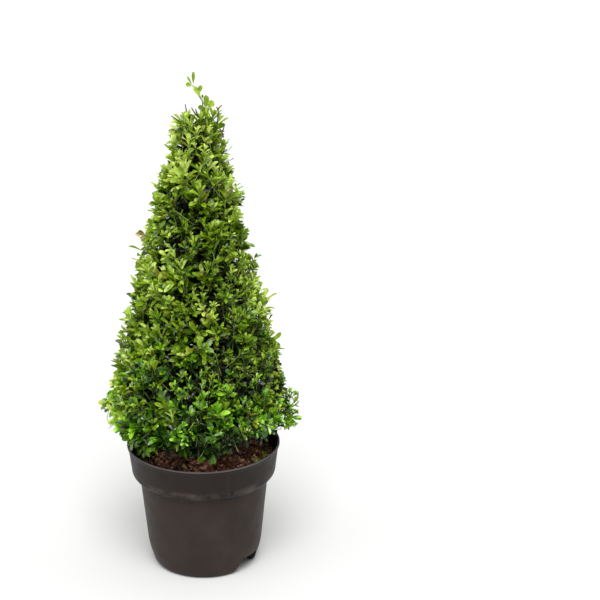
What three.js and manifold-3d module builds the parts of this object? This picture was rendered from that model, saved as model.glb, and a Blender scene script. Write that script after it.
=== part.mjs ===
// A box shrub clipped to a cone and grown in a round nursery pot, in millimetres with +Z up.
// The origin is the middle of the pot's flat underside, and the front of the plant faces -Y.
// The shrub is a short trunk, an upright leader, boughs that leave them, and leafy masses that
// each fill a cell of the clipped cone. Every mass grows by one seeded rule.

import * as THREE from 'three';
import { mergeVertices } from 'three/addons/utils/BufferGeometryUtils.js';
import Module from 'manifold-3d';

const wasm = await Module();
wasm.setup();

// Driving dimensions, in millimetres unless a name says otherwise.

const clearance = 0.3; // between pieces that touch

const pot = {
  height: 236,
  rimRadius: 140,
  lipWidth: 3.4,
  lipDrop: 2.2,
  bandTopRadius: 138.6,
  bandFootRadius: 132.2,
  bandFootHeight: 186,
  ledgeHeight: 172,
  wallTopRadius: 118,
  wallFootRadius: 104,
  wallFootHeight: 36,
  cornerRadius: 95,
  cornerHeight: 8,
  soleRadius: 88,
  wall: 2.4,
  floor: 3.2,
  segments: 40,
  // Drainage channels under the base, open at its edge. Angles are in degrees from +X.
  channels: { angles: [-36, 144], width: 76, taper: 15, height: 30, reach: 46 },
  drains: { angles: [26, 86, 206, 266], radius: 7, circle: 58, sides: 8 },
};

const soil = {
  level: 211,
  edgeDrop: 3,
  clod: 3.2, // how far the crumbs rise and fall
  calmRadius: 26, // flat round the trunk's foot
  rings: [104, 74, 44, 22],
};

const trunk = {
  flareRadius: 17,
  flareHeight: 16,
  footRadius: 10,
  forkRadius: 8,
  forkHeight: 296,
  lean: 3,
  sides: 9,
};

const leader = { tipRadius: 2.6, tipHeight: 786, sway: 5, sides: 7 };

const bough = {
  rise: 0.62,
  stagger: 13, // every second bough of a tier leaves the stem this much lower
  footShare: 0.46,
  tipShare: 0.66,
  sag: 0.14,
  sides: 5,
  steps: 3,
};

// The clipped cone: its widest ring, its shoulder under the tip, and how it draws in below.
const crown = {
  widest: { height: 300, radius: 174 },
  shoulder: { height: 846, radius: 35 },
  top: 872,
  skirtDraw: 0.0125, // per millimetre, squared
  offset: { atWidest: -6.7, perHeight: 0.0081 }, // along X, from the pot's axis
  lumps: [
    { size: 3.4, turns: 3, wave: 45 },
    { size: 2.4, turns: 7, wave: -28 },
  ],
  // The dents and swells that the shears left on its right side, at 0 degrees, and its left.
  bumps: [
    { degrees: 0, height: 288, size: 13, wide: 40, tall: 16 },
    { degrees: 0, height: 366, size: -20, wide: 42, tall: 56 },
    { degrees: 0, height: 500, size: 5, wide: 40, tall: 24 },
    { degrees: 0, height: 625, size: -17, wide: 45, tall: 34 },
    { degrees: 0, height: 714, size: 7, wide: 30, tall: 10 },
    { degrees: 0, height: 785, size: -6, wide: 40, tall: 20 },
    { degrees: 0, height: 842, size: -7, wide: 40, tall: 10 },
    { degrees: 180, height: 330, size: -4, wide: 40, tall: 30 },
    { degrees: 180, height: 430, size: -8, wide: 42, tall: 60 },
    { degrees: 180, height: 600, size: -5, wide: 40, tall: 30 },
    { degrees: 180, height: 652, size: -5, wide: 40, tall: 12 },
    { degrees: 180, height: 700, size: 14, wide: 45, tall: 20 },
    { degrees: 180, height: 777, size: -9, wide: 50, tall: 16 },
    { degrees: 180, height: 845, size: -6, wide: 50, tall: 12 },
    { degrees: 180, height: 872, size: -14, wide: 60, tall: 10 },
  ],
};

// From the soil up. Each tier is a ring of masses, with as many twigs as it has room for.
const tiers = [
  { name: 'skirt', foot: 262, masses: 6, turn: -0.4, twigs: 7 },
  { name: 'lower', foot: 372, masses: 5, turn: 0.5, twigs: 7 },
  { name: 'middle', foot: 480, masses: 4, turn: 0.2, twigs: 7 },
  { name: 'upper', foot: 586, masses: 3, turn: 1.1, twigs: 7 },
  { name: 'neck', foot: 692, masses: 2, turn: 0.3, twigs: 6 },
  { name: 'tip', foot: 798, masses: 1, turn: 0, twigs: 5 },
];
const cell = {
  edgeWave: 7, // how far a tier's edge rises and falls
  sideWave: 0.09, // radians, how far a mass's side swings
  margin: 1.6, // left free along every side
  proud: 13, // how far leaf tips stand out of the clipped cone
  hollowShare: 0.42, // the woody inside, as a share of the crown's radius
  hollowLeast: 15,
};

const mass = {
  seed: 41,
  coreCuts: [2, 3, 3], // faces across the core's depth, width and height
  coreDepth: 11, // of the core under the clipped face
  coreLump: 9, // deeper still, here and there
  coreBevel: 9, // and along the cell's edges
  coreMargin: 2.4,
  stemRadius: 4,
  twigRadius: 2.6,
  tipDepth: 5, // of a twig's end under the clipped face
  twigRise: 14,
  goldenShare: 0.618, // of the way round to the next twig
  limbRoom: 2,
};

const leaf = { length: 33, width: 17, thickness: 2.2, root: 1.2, widest: 0.55 };
const leafPairs = [
  { back: 3, spread: 50 },
  { back: 8.5, spread: 74 },
];

// The long shoot that has outgrown the clipped tip.
const shoot = {
  route: [
    [0, 0, 812],
    [13, -3, 848],
    [13, -5, 868],
    [2, -4, 892],
    [-8, -3, 914],
  ],
  pairs: [0.52, 0.72, 0.97],
  leafScale: 0.72,
};

// Seeded random numbers from 0 to 1, the same on every run.
function seededRandom(seed) {
  let state = seed >>> 0;
  return () => {
    state = (state + 0x6d2b79f5) >>> 0;
    let mixed = Math.imul(state ^ (state >>> 15), state | 1);
    mixed ^= mixed + Math.imul(mixed ^ (mixed >>> 7), mixed | 61);
    return ((mixed ^ (mixed >>> 14)) >>> 0) / 2 ** 32;
  };
}

const lerp = THREE.MathUtils.lerp;
const radians = THREE.MathUtils.degToRad;
const share = (value, low, high) => (value - low) / (high - low);
const fraction = (value) => value - Math.floor(value);
const polar = (angle, radius, z) =>
  new THREE.Vector3(Math.cos(angle) * radius, Math.sin(angle) * radius, z);

// A closed three.js geometry as a solid, and a solid as a geometry.
function solidOf(geometry) {
  const bare = geometry.clone();
  bare.deleteAttribute('normal');
  bare.deleteAttribute('uv');
  const merged = mergeVertices(bare, 1e-4);
  return new wasm.Manifold(
    new wasm.Mesh({
      numProp: 3,
      vertProperties: new Float32Array(merged.attributes.position.array),
      triVerts: new Uint32Array(merged.index.array),
    }),
  );
}

function geometryOf(solid) {
  const shape = solid.getMesh();
  const geometry = new THREE.BufferGeometry();
  geometry.setAttribute('position', new THREE.BufferAttribute(shape.vertProperties, 3));
  geometry.setIndex(new THREE.BufferAttribute(shape.triVerts, 1));
  return geometry.toNonIndexed();
}

// True if a solid is one body whose edges each join two faces, also once its corners are rounded.
function isSound(solid) {
  const { vertProperties, triVerts } = solid.getMesh();
  const uses = new Map();
  for (const digits of [3, 4]) {
    const nameOf = (corner) =>
      Array.from(vertProperties.subarray(3 * corner, 3 * corner + 3), (value) =>
        value.toFixed(digits),
      ).join();
    for (let i = 0; i < triVerts.length; i += 3) {
      const names = [0, 1, 2].map((k) => nameOf(triVerts[i + k]));
      if (new Set(names).size < 3) continue;
      names.forEach((name, k) => {
        const edge = `${digits}: ${[name, names[(k + 1) % 3]].sort().join(' to ')}`;
        uses.set(edge, (uses.get(edge) ?? 0) + 1);
      });
    }
  }
  return solid.decompose().length === 1 && [...uses.values()].every((count) => count === 2);
}

// Pieces fused one after the other. A piece that would leave a flaw is left out.
function fuse(pieces) {
  return pieces.map(solidOf).reduce((whole, piece) => {
    const joined = whole.add(piece);
    return isSound(joined) ? joined : whole;
  });
}

// Moves every vertex of a geometry by a function of its place.
function reshape(geometry, place) {
  const position = geometry.attributes.position;
  const point = new THREE.Vector3();
  for (let i = 0; i < position.count; i++) {
    point.fromBufferAttribute(position, i);
    const moved = place(point);
    position.setXYZ(i, moved.x, moved.y, moved.z);
  }
  return geometry;
}

// A tapering limb round a curve, closed by a flat cut at each end.
function limbGeometry(curve, radiusAt, sides, steps) {
  const tube = new THREE.CylinderGeometry(1, 1, 1, sides, steps);
  const ahead = new THREE.Vector3();
  return reshape(tube, (point) => {
    const along = point.y + 0.5;
    curve.getTangent(along, ahead);
    const guide = Math.abs(ahead.z) > 0.8 ? new THREE.Vector3(0, 1, 0) : new THREE.Vector3(0, 0, 1);
    const side = guide.clone().cross(ahead).normalize();
    const across = side.clone().cross(ahead);
    const radius = radiusAt(along);
    return curve
      .getPoint(along)
      .addScaledVector(side, point.x * radius)
      .addScaledVector(across, point.z * radius);
  });
}

// Radii and heights turned round the Z axis.
function turned(profile, segments) {
  const points = profile.map(([radius, height]) => new THREE.Vector2(radius, height));
  return new THREE.LatheGeometry(points, segments).rotateX(Math.PI / 2);
}

// The rounded underside of the rim band: a quarter of an ellipse from the wall out to the band.
function bandCurve(inset) {
  const steps = 3;
  return Array.from({ length: steps + 1 }, (_, i) => {
    const angle = (i / steps) * (Math.PI / 2);
    const reach = pot.bandFootRadius - pot.wallTopRadius;
    const drop = pot.bandFootHeight - pot.ledgeHeight;
    return [
      pot.wallTopRadius + reach * Math.sin(angle) - inset,
      pot.bandFootHeight - drop * Math.cos(angle) + inset * 0.4,
    ];
  });
}

function potInside(inset) {
  return [
    [pot.soleRadius - pot.wall - inset, pot.floor + inset],
    [pot.cornerRadius - pot.wall - inset, pot.cornerHeight + 2 + inset],
    [pot.wallFootRadius - pot.wall - inset, pot.wallFootHeight],
    ...bandCurve(pot.wall + inset),
  ];
}

// The space of one drainage channel, grown all round by an extra width.
function channelBlock(degrees, extra) {
  const { width, taper, height, reach } = pot.channels;
  const far = pot.rimRadius;
  const block = new THREE.BoxGeometry(2, 2, 2);
  reshape(block, (corner) => {
    const top = corner.z > 0;
    const x = corner.x > 0 ? far : reach - extra;
    const y = (width / 2 + extra - (top ? taper : 0)) * corner.y;
    return new THREE.Vector3(x, y, top ? height + extra : -height);
  });
  return solidOf(block.rotateZ(radians(degrees)));
}

function makePot() {
  const lipInside = pot.rimRadius - pot.lipWidth;
  const outside = [
    [0, 0],
    [pot.soleRadius, 0],
    [pot.cornerRadius, pot.cornerHeight],
    [pot.wallFootRadius, pot.wallFootHeight],
    ...bandCurve(0),
    [pot.bandTopRadius, pot.height - 2 * pot.lipDrop],
    [pot.rimRadius, pot.height - pot.lipDrop],
    [pot.rimRadius - 0.6, pot.height],
  ];
  const inside = [
    [lipInside + 0.6, pot.height],
    [lipInside, pot.height - pot.lipDrop],
    ...potInside(0).reverse(),
    [0, pot.floor],
  ];
  const filled = solidOf(turned([...outside, [0, pot.height]], pot.segments));
  let solid = solidOf(turned([...outside, ...inside], pot.segments));
  for (const degrees of pot.channels.angles) {
    solid = solid
      .add(channelBlock(degrees, pot.wall).intersect(filled))
      .subtract(channelBlock(degrees, 0));
  }
  const { drains } = pot;
  for (const degrees of drains.angles) {
    const place = polar(radians(degrees), drains.circle, 0);
    const hole = new THREE.CylinderGeometry(drains.radius, drains.radius, pot.floor * 4, drains.sides)
      .rotateX(Math.PI / 2)
      .translate(place.x, place.y, place.z);
    solid = solid.subtract(solidOf(hole));
  }
  return geometryOf(solid);
}

// Compost that fills the pot to below its rim, with crumbs on top.
function makeSoil() {
  const insideWall = potInside(clearance).filter(([, height]) => height < soil.level - 8);
  const [edgeRadius] = insideWall[insideWall.length - 1];
  const side = [
    [0, pot.floor + clearance],
    ...insideWall,
    [edgeRadius, soil.level - soil.edgeDrop],
  ];
  const top = soil.rings.map((radius) => [radius, soil.level]);
  const body = turned([...side, ...top, [0, soil.level]], pot.segments);
  reshape(body, (point) => {
    const radius = Math.hypot(point.x, point.y);
    if (point.z < soil.level - 0.1 || radius < soil.calmRadius) return point;
    const crumbs =
      Math.sin(point.x * 0.21 + 1.3) * Math.cos(point.y * 0.17) +
      0.6 * Math.sin(point.x * 0.47 - point.y * 0.39);
    return point.setZ(point.z + soil.clod * crumbs * 0.6);
  });
  const filled = pot.channels.angles.reduce(
    (solid, degrees) => solid.subtract(channelBlock(degrees, pot.wall + clearance)),
    solidOf(body),
  );
  return geometryOf(filled);
}

// The line of the stem and its radius at a height, from the soil to the leader's tip.
function stemLine(z) {
  const up = share(z, soil.level, leader.tipHeight);
  return new THREE.Vector3(
    trunk.lean * Math.sin(up * 3) + leader.sway * Math.sin(up * 5) * up,
    -leader.sway * 0.6 * Math.sin(up * 4) * up,
    z,
  );
}

function stemRadius(z) {
  if (z < trunk.forkHeight) {
    const flare = Math.max(0, 1 - share(z, soil.level, soil.level + trunk.flareHeight));
    const straight = lerp(
      trunk.footRadius,
      trunk.forkRadius,
      share(z, soil.level, trunk.forkHeight),
    );
    return straight + (trunk.flareRadius - trunk.footRadius) * flare ** 2;
  }
  return lerp(
    trunk.forkRadius,
    leader.tipRadius,
    share(z, trunk.forkHeight, leader.tipHeight),
  );
}

// A stretch of the stem between two heights, grown by an extra radius.
function stemStretch(low, high, sides, steps, extra = 0) {
  const heights = Array.from({ length: steps * 2 + 1 }, (_, i) => lerp(low, high, i / (steps * 2)));
  const curve = new THREE.CatmullRomCurve3(heights.map(stemLine));
  return limbGeometry(curve, (along) => stemRadius(lerp(low, high, along)) + extra, sides, steps);
}

const trunkFoot = soil.level + clearance;
const leaderFoot = trunk.forkHeight + clearance;
const makeTrunk = () => stemStretch(trunkFoot, trunk.forkHeight, trunk.sides, 8);
const makeLeader = () => stemStretch(leaderFoot, leader.tipHeight, leader.sides, 9);
const stemRoom = solidOf(
  stemStretch(trunkFoot - 1, leader.tipHeight + clearance, trunk.sides, 30, clearance * 2),
);

// How far the clipped face stands from the axis at a height, before and after its lumps.
function crownRadius(z) {
  const { widest, shoulder, top, skirtDraw } = crown;
  if (z < widest.height) return widest.radius - skirtDraw * (widest.height - z) ** 2;
  if (z < shoulder.height) {
    return lerp(widest.radius, shoulder.radius, share(z, widest.height, shoulder.height));
  }
  const over = Math.min(1, share(z, shoulder.height, top));
  return shoulder.radius * Math.sqrt(1 - over * over);
}

const turnBetween = (a, b) => Math.atan2(Math.sin(a - b), Math.cos(a - b));

function faceRadius(angle, z) {
  const { atWidest, perHeight } = crown.offset;
  const offset = atWidest + perHeight * (z - crown.widest.height);
  const lumps = crown.lumps.map(({ size, turns, wave }) => size * Math.sin(turns * angle + z / wave));
  const bumps = crown.bumps.map((bump) => {
    const aside = turnBetween(angle, radians(bump.degrees)) / radians(bump.wide);
    return bump.size * Math.exp(-(aside ** 2) - ((z - bump.height) / bump.tall) ** 2);
  });
  return crownRadius(z) + offset * Math.cos(angle) + [...lumps, ...bumps].reduce((a, b) => a + b);
}

const hollowRadius = (z) => Math.max(cell.hollowLeast, cell.hollowShare * crownRadius(z));

// The wavy edge under a tier, and over the last one.
function tierEdge(index, angle) {
  if (index === tiers.length) return crown.top;
  return tiers[index].foot + cell.edgeWave * Math.sin(2 * angle + index * 1.7);
}

// A mass's own room: a cell between two tier edges and two sides, inside the clipped face.
function cellOf(index, sector) {
  const tier = tiers[index];
  const width = (2 * Math.PI) / tier.masses;
  const side = (z) => tier.turn + sector * width + cell.sideWave * Math.sin(z / 30 + index);
  const whole = tier.masses === 1;
  const middle = tier.turn + (sector + 0.5) * width;
  return {
    name: whole ? tier.name : `${tier.name}_${sector + 1}`,
    tier,
    sector,
    whole,
    width,
    middle,
    foot: (angle) => tierEdge(index, angle),
    head: (angle) => tierEdge(index + 1, angle),
    angleAt: (across, z) => side(z) + across * width,
    holds(point, margin) {
      const radius = Math.hypot(point.x, point.y);
      let angle = Math.atan2(point.y, point.x);
      if (radius > faceRadius(angle, point.z) + cell.proud) return false;
      if (point.z < tierEdge(index, angle) + margin) return false;
      if (!whole && radius < cell.hollowLeast * 0.6) return false;
      const low = side(point.z);
      angle = low + fraction((angle - low) / (2 * Math.PI)) * 2 * Math.PI;
      const slack = margin / radius;
      if (!whole && (angle < low + slack || angle > low + width - slack)) return false;
      return whole || point.z < tierEdge(index + 1, angle) - margin;
    },
  };
}

const cells = tiers.flatMap((tier, index) =>
  Array.from({ length: tier.masses }, (_, sector) => cellOf(index, sector)),
);

// Where a bough leaves the stem, and where its tip meets the mass.
function boughRoute(room) {
  const height = lerp(room.foot(room.middle), room.head(room.middle), 0.36);
  const reach = hollowRadius(height) - 6;
  const tip = polar(room.middle, reach, height);
  const drop = reach * bough.rise + (room.sector % 2) * bough.stagger;
  const footHeight = Math.max(height - drop, soil.level + 20);
  const foot = stemLine(footHeight);
  const middle = foot.clone().lerp(tip, 0.5);
  middle.z -= reach * bough.sag;
  return new THREE.QuadraticBezierCurve3(foot, middle, tip);
}

function makeBough(room) {
  const route = boughRoute(room);
  const footRadius = stemRadius(route.v0.z) * bough.footShare;
  const tipRadius = Math.max(footRadius * bough.tipShare, 1.5);
  const limb = limbGeometry(route, (t) => lerp(footRadius, tipRadius, t), bough.sides, bough.steps);
  return geometryOf(solidOf(limb).subtract(stemRoom));
}

// The dense heart of a mass: a lumpy cushion that fills its cell behind the leaves.
function coreOf(room, random) {
  const block = new THREE.BoxGeometry(2, 2, 2, ...mass.coreCuts);
  const lumps = new Map();
  const depthAt = (corner) => {
    const key = corner.toArray().map((value) => value.toFixed(3)).join();
    if (!lumps.has(key)) lumps.set(key, mass.coreLump * random());
    const onEdge = Math.max(room.whole ? 0 : Math.abs(corner.y), Math.abs(corner.z)) > 0.99;
    return mass.coreDepth + lumps.get(key) + (onEdge ? mass.coreBevel : 0);
  };
  return reshape(block, (corner) => {
    const up = 0.5 + 0.5 * corner.z;
    if (room.whole) {
      const angle = Math.atan2(corner.y, corner.x);
      const z = lerp(room.foot(angle) + mass.coreMargin, crown.top - mass.coreDepth, up);
      const radius = Math.max(faceRadius(angle, z) - depthAt(corner), 5);
      return polar(angle, radius * Math.max(Math.abs(corner.x), Math.abs(corner.y)), z);
    }
    const across = 0.5 + 0.5 * corner.y;
    const roughHeight = lerp(room.foot(room.middle), room.head(room.middle), up);
    const roughAngle = room.angleAt(across, roughHeight);
    const foot = room.foot(roughAngle) + mass.coreMargin;
    const z = lerp(foot, room.head(roughAngle) - mass.coreMargin, up);
    const inner = hollowRadius(z) + 2;
    const outer = Math.max(faceRadius(roughAngle, z) - depthAt(corner), inner + 9);
    const radius = lerp(inner, outer, 0.5 + 0.5 * corner.x);
    const sideRoom = mass.coreMargin / radius / room.width;
    return polar(room.angleAt(lerp(sideRoom, 1 - sideRoom, across), z), radius, z);
  });
}

// A leaf of eight faces, from its root along a direction, with its back to a normal.
function leafGeometry(root, direction, normal, scale) {
  const across = normal.clone().cross(direction).normalize();
  const upright = direction.clone().cross(across);
  const start = root.clone().addScaledVector(direction, -leaf.root);
  const frame = new THREE.Matrix4().makeBasis(direction, across, upright).setPosition(start);
  const blade = new THREE.OctahedronGeometry(1).scale(0.5, 0.5, 0.5).translate(0.5, 0, 0);
  reshape(blade, (point) => point.setX(point.x === 0.5 ? leaf.widest : point.x));
  return blade
    .scale(leaf.length * scale, leaf.width * scale, leaf.thickness)
    .applyMatrix4(frame);
}

// Two opposite leaves at a place on a twig. Each pair stands crosswise to the last.
function leafPair(place, ahead, turn, spread, scale) {
  const guide = Math.abs(ahead.z) > 0.9 ? new THREE.Vector3(1, 0, 0) : new THREE.Vector3(0, 0, 1);
  const side = guide.cross(ahead).normalize().applyAxisAngle(ahead, turn);
  return [1, -1].map((sign) => {
    const direction = ahead
      .clone()
      .multiplyScalar(Math.cos(spread))
      .addScaledVector(side, sign * Math.sin(spread))
      .normalize();
    const normal = ahead.clone().addScaledVector(side, -sign).normalize();
    return leafGeometry(place, direction, normal, scale);
  });
}

function corners(geometry) {
  const position = geometry.attributes.position;
  return Array.from({ length: position.count }, (_, i) =>
    new THREE.Vector3().fromBufferAttribute(position, i),
  );
}

// True if a piece keeps to its mass's room and stays clear of the stem and the boughs.
function fits(geometry, room) {
  return corners(geometry).every((point) => {
    if (!room.holds(point, cell.margin)) return false;
    if (point.z > leader.tipHeight) return true;
    const away = point.distanceTo(stemLine(point.z));
    return away > stemRadius(point.z) + mass.limbRoom;
  });
}

// The twigs of a mass, each with its leaves, by the seeded rule.
function twigsOf(room, heart, random) {
  const pieces = [];
  const start = random();
  for (let i = 0; i < room.tier.twigs; i++) {
    const across = 0.1 + 0.8 * fraction(start + i * mass.goldenShare);
    const up = 0.1 + 0.8 * ((i + 0.25 + 0.5 * random()) / room.tier.twigs);
    const roughHeight = lerp(room.foot(room.middle), room.head(room.middle), up);
    const angle = room.angleAt(across, roughHeight);
    const z = lerp(room.foot(angle), room.head(angle), up);
    const depth = Math.min(mass.tipDepth, crownRadius(z) * 0.6);
    const tip = polar(angle, faceRadius(angle, z) - depth, z);
    const foot = heart.clone();
    foot.z = Math.min(heart.z, z) - mass.twigRise * random();
    foot.z = Math.max(foot.z, heart.z - mass.twigRise);
    const ahead = tip.clone().sub(foot).normalize();
    const line = new THREE.LineCurve3(foot, tip);
    const twig = limbGeometry(line, (t) => lerp(1.3, 0.8, t) * mass.twigRadius, 3, 1);
    const turn = random() * Math.PI;
    if (!room.holds(tip, cell.margin + 2)) continue;
    pieces.push(twig);
    leafPairs.forEach(({ back, spread }, pair) => {
      const place = tip.clone().addScaledVector(ahead, -back);
      const opening = radians(spread + 10 * (random() - 0.5));
      const scale = 0.88 + 0.24 * random();
      const blades = leafPair(place, ahead, turn + (pair * Math.PI) / 2, opening, scale);
      pieces.push(...blades.filter((blade) => fits(blade, room)));
    });
  }
  return pieces;
}

// The outgrown shoot over the tip: a thin bending twig with small open pairs.
function shootPieces() {
  const route = new THREE.CatmullRomCurve3(shoot.route.map((point) => new THREE.Vector3(...point)));
  const pieces = [limbGeometry(route, (t) => lerp(2.4, 1, t), 3, 7)];
  shoot.pairs.forEach((along, pair) => {
    const place = route.getPoint(along);
    const ahead = route.getTangent(along);
    const spread = radians(pair === shoot.pairs.length - 1 ? 28 : 50);
    pieces.push(...leafPair(place, ahead, (pair * Math.PI) / 2, spread, shoot.leafScale));
  });
  return pieces;
}

// One mass: its stem from the bough's tip, its core, and its twigs and leaves, as one solid.
function makeMass(room, index) {
  const random = seededRandom(mass.seed + index * 101);
  const route = boughRoute(room);
  const entry = room.whole ? stemLine(leader.tipHeight) : route.v2;
  const ahead = room.whole ? new THREE.Vector3(0, 0, 1) : route.getTangent(1);
  const foot = entry.clone().addScaledVector(ahead, clearance);
  const depth = room.whole ? 26 : Math.max(crownRadius(entry.z) * 0.26, 14);
  const heart = foot.clone().addScaledVector(ahead, depth);
  const line = new THREE.LineCurve3(foot, heart);
  const stem = limbGeometry(line, () => mass.stemRadius, 3, 1);
  const pieces = [stem, coreOf(room, random), ...twigsOf(room, heart, random)];
  if (room.whole) pieces.push(...shootPieces());
  return geometryOf(fuse(pieces));
}

// Plain finishes: colour, roughness, metalness.
const finishes = {
  pot: new THREE.MeshStandardMaterial({ color: 0x46403d, roughness: 0.55, metalness: 0 }),
  soil: new THREE.MeshStandardMaterial({ color: 0x3a241b, roughness: 1, metalness: 0 }),
  bark: new THREE.MeshStandardMaterial({ color: 0x6b5a45, roughness: 0.9, metalness: 0 }),
  foliage: new THREE.MeshStandardMaterial({ color: 0x5c8024, roughness: 0.5, metalness: 0 }),
};

const topiary = new THREE.Group();

function addPiece(name, geometry, finish) {
  geometry.computeVertexNormals();
  const mesh = new THREE.Mesh(geometry, finishes[finish].clone());
  mesh.name = name;
  topiary.add(mesh);
}

addPiece('pot', makePot(), 'pot');
addPiece('soil', makeSoil(), 'soil');
addPiece('trunk', makeTrunk(), 'bark');
addPiece('leader', makeLeader(), 'bark');
cells.forEach((room, index) => {
  if (!room.whole) addPiece(`bough_${room.name}`, makeBough(room), 'bark');
  addPiece(`foliage_${room.name}`, makeMass(room, index), 'foliage');
});

export default topiary;
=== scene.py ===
import math

import bmesh
import bpy
import numpy as np
from mathutils import Matrix, Vector


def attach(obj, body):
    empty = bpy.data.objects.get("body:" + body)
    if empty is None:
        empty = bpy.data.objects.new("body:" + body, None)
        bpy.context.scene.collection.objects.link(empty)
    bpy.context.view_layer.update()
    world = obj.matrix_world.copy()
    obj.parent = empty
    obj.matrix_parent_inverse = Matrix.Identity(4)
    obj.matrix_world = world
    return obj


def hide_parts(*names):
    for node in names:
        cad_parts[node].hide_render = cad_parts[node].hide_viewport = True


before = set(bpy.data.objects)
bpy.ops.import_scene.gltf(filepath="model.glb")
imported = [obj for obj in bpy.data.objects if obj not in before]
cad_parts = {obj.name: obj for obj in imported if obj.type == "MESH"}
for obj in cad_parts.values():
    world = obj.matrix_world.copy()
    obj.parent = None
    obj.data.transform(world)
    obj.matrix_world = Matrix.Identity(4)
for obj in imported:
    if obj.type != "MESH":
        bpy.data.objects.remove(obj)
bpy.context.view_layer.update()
scene = bpy.context.scene
print("frame loaded")

# Camera at the photo's viewing angle, 3.8 m away with a long lens
shot = {
    "place": (0.0, -3.364, 1.739), "pitchDown": 20.09, "turnRight": 3.02,  # metres and degrees
    "lens": 120.0, "sensor": 36.0,  # millimetres
}


def placeObject(name, data):
    made = bpy.data.objects.new(name, data)
    scene.collection.objects.link(made)
    return made


cameraData = bpy.data.cameras.new("camera")
cameraData.lens = shot["lens"]
cameraData.sensor_width = shot["sensor"]
camera = placeObject("camera", cameraData)
camera.location = shot["place"]
camera.rotation_euler = (math.radians(90 - shot["pitchDown"]), 0, math.radians(-shot["turnRight"]))
scene.camera = camera
scene.view_settings.view_transform = "Standard"

# Plain studio: a white floor under open white light, a broad light from above, a key above the front,
# a fill from the left and a low light from the right
studio = {
    "world": 0.4,
    "floorTone": (0.575, 0.58, 0.57),
    "floorReach": 30,  # metres to every side
    "suns": {  # the place each one shines from, its strength and its width in degrees
        "top": {"place": (0.1, -0.1, 1.6), "strength": 1.5, "angle": 80},
        "key": {"place": (-0.02, -1.0, 1.5), "strength": 3.3, "angle": 34},
        "fill": {"place": (-1.5, -0.6, 0.5), "strength": 1.15, "angle": 60},
        "low": {"place": (1.2, -0.8, 0.9), "strength": 0.4, "angle": 60},
    },
}


def sunLight(name, place, strength, angle):
    data = bpy.data.lights.new(name, "SUN")
    data.energy = strength
    data.angle = math.radians(angle)
    light = placeObject(name, data)
    light.location = place
    light.rotation_euler = Vector(place).to_track_quat("Z", "Y").to_euler()


for lightName, settings in studio["suns"].items():
    sunLight(lightName, **settings)
world = bpy.data.worlds.new("studioWhite")
world.use_nodes = True
world.node_tree.nodes["Background"].inputs["Color"].default_value = (1, 1, 1, 1)
world.node_tree.nodes["Background"].inputs["Strength"].default_value = studio["world"]
scene.world = world
print("camera and lights set")


# Materials

def newMaterial(name):
    material = bpy.data.materials.new(name)
    material.use_nodes = True
    tree = material.node_tree
    return material, tree, tree.nodes["Principled BSDF"]


def addNode(tree, kind, **settings):
    node = tree.nodes.new(kind)
    for key, value in settings.items():
        if key in node.inputs:
            node.inputs[key].default_value = value
        else:
            setattr(node, key, value)
    return node


def feed(tree, socket, source):
    # a plain value stays on the socket, anything else is linked to it
    if isinstance(source, (int, float)):
        socket.default_value = source
    elif isinstance(source, tuple):
        socket.default_value = (*source, 1)
    else:
        tree.links.new(source, socket)


def noiseAt(tree, scale, detail=3.0, roughness=0.55, stretch=None):
    place = tree.nodes.new("ShaderNodeTexCoord").outputs["Object"]
    if stretch:
        mapping = addNode(tree, "ShaderNodeMapping", Scale=stretch)
        tree.links.new(place, mapping.inputs["Vector"])
        place = mapping.outputs["Vector"]
    noise = addNode(tree, "ShaderNodeTexNoise", Scale=scale, Detail=detail, Roughness=roughness)
    tree.links.new(place, noise.inputs["Vector"])
    return noise.outputs["Fac"]


def linear(red, green, blue):
    # screen colour, 0 to 255, as the linear colour a shader takes
    def one(value):
        value /= 255
        return value / 12.92 if value <= 0.04045 else ((value + 0.055) / 1.055) ** 2.4
    return (one(red), one(green), one(blue))


def scaled(colour, factor):
    return tuple(min(1.0, part * factor) for part in colour)


def rampOf(tree, source, stops):
    ramp = tree.nodes.new("ShaderNodeValToRGB")
    elements = ramp.color_ramp.elements
    while len(elements) < len(stops):
        elements.new(0.5)
    for element, (position, colour) in zip(elements, stops):
        element.position = position
        element.color = (*colour, 1)
    tree.links.new(source, ramp.inputs["Fac"])
    return ramp.outputs["Color"]


def tintsOf(tree, source, positions, tones):
    return rampOf(tree, source, [(position, linear(*tone)) for position, tone in zip(positions, tones)])


def greysOf(tree, source, *stops):
    return rampOf(tree, source, [(position, (value,) * 3) for position, value in stops])


def bumpFrom(tree, source, shader, strength, distance):
    bump = addNode(tree, "ShaderNodeBump", Strength=strength, Distance=distance)
    tree.links.new(source, bump.inputs["Height"])
    tree.links.new(bump.outputs["Normal"], shader.inputs["Normal"])


def dress(tree, shader, colour, roughness, specular=0.5):
    for key, source in (("Base Color", colour), ("Roughness", roughness), ("Specular IOR Level", specular)):
        feed(tree, shader.inputs[key], source)


def multiply(tree, first, second):
    node = addNode(tree, "ShaderNodeMath", operation="MULTIPLY", use_clamp=True)
    feed(tree, node.inputs[0], first)
    feed(tree, node.inputs[1], second)
    return node.outputs[0]


def mixColour(tree, factor, first, second):
    node = addNode(tree, "ShaderNodeMix", data_type="RGBA")
    for socket, source in ((node.inputs[0], factor), (node.inputs[6], first), (node.inputs[7], second)):
        feed(tree, socket, source)
    return node.outputs[2]


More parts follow.
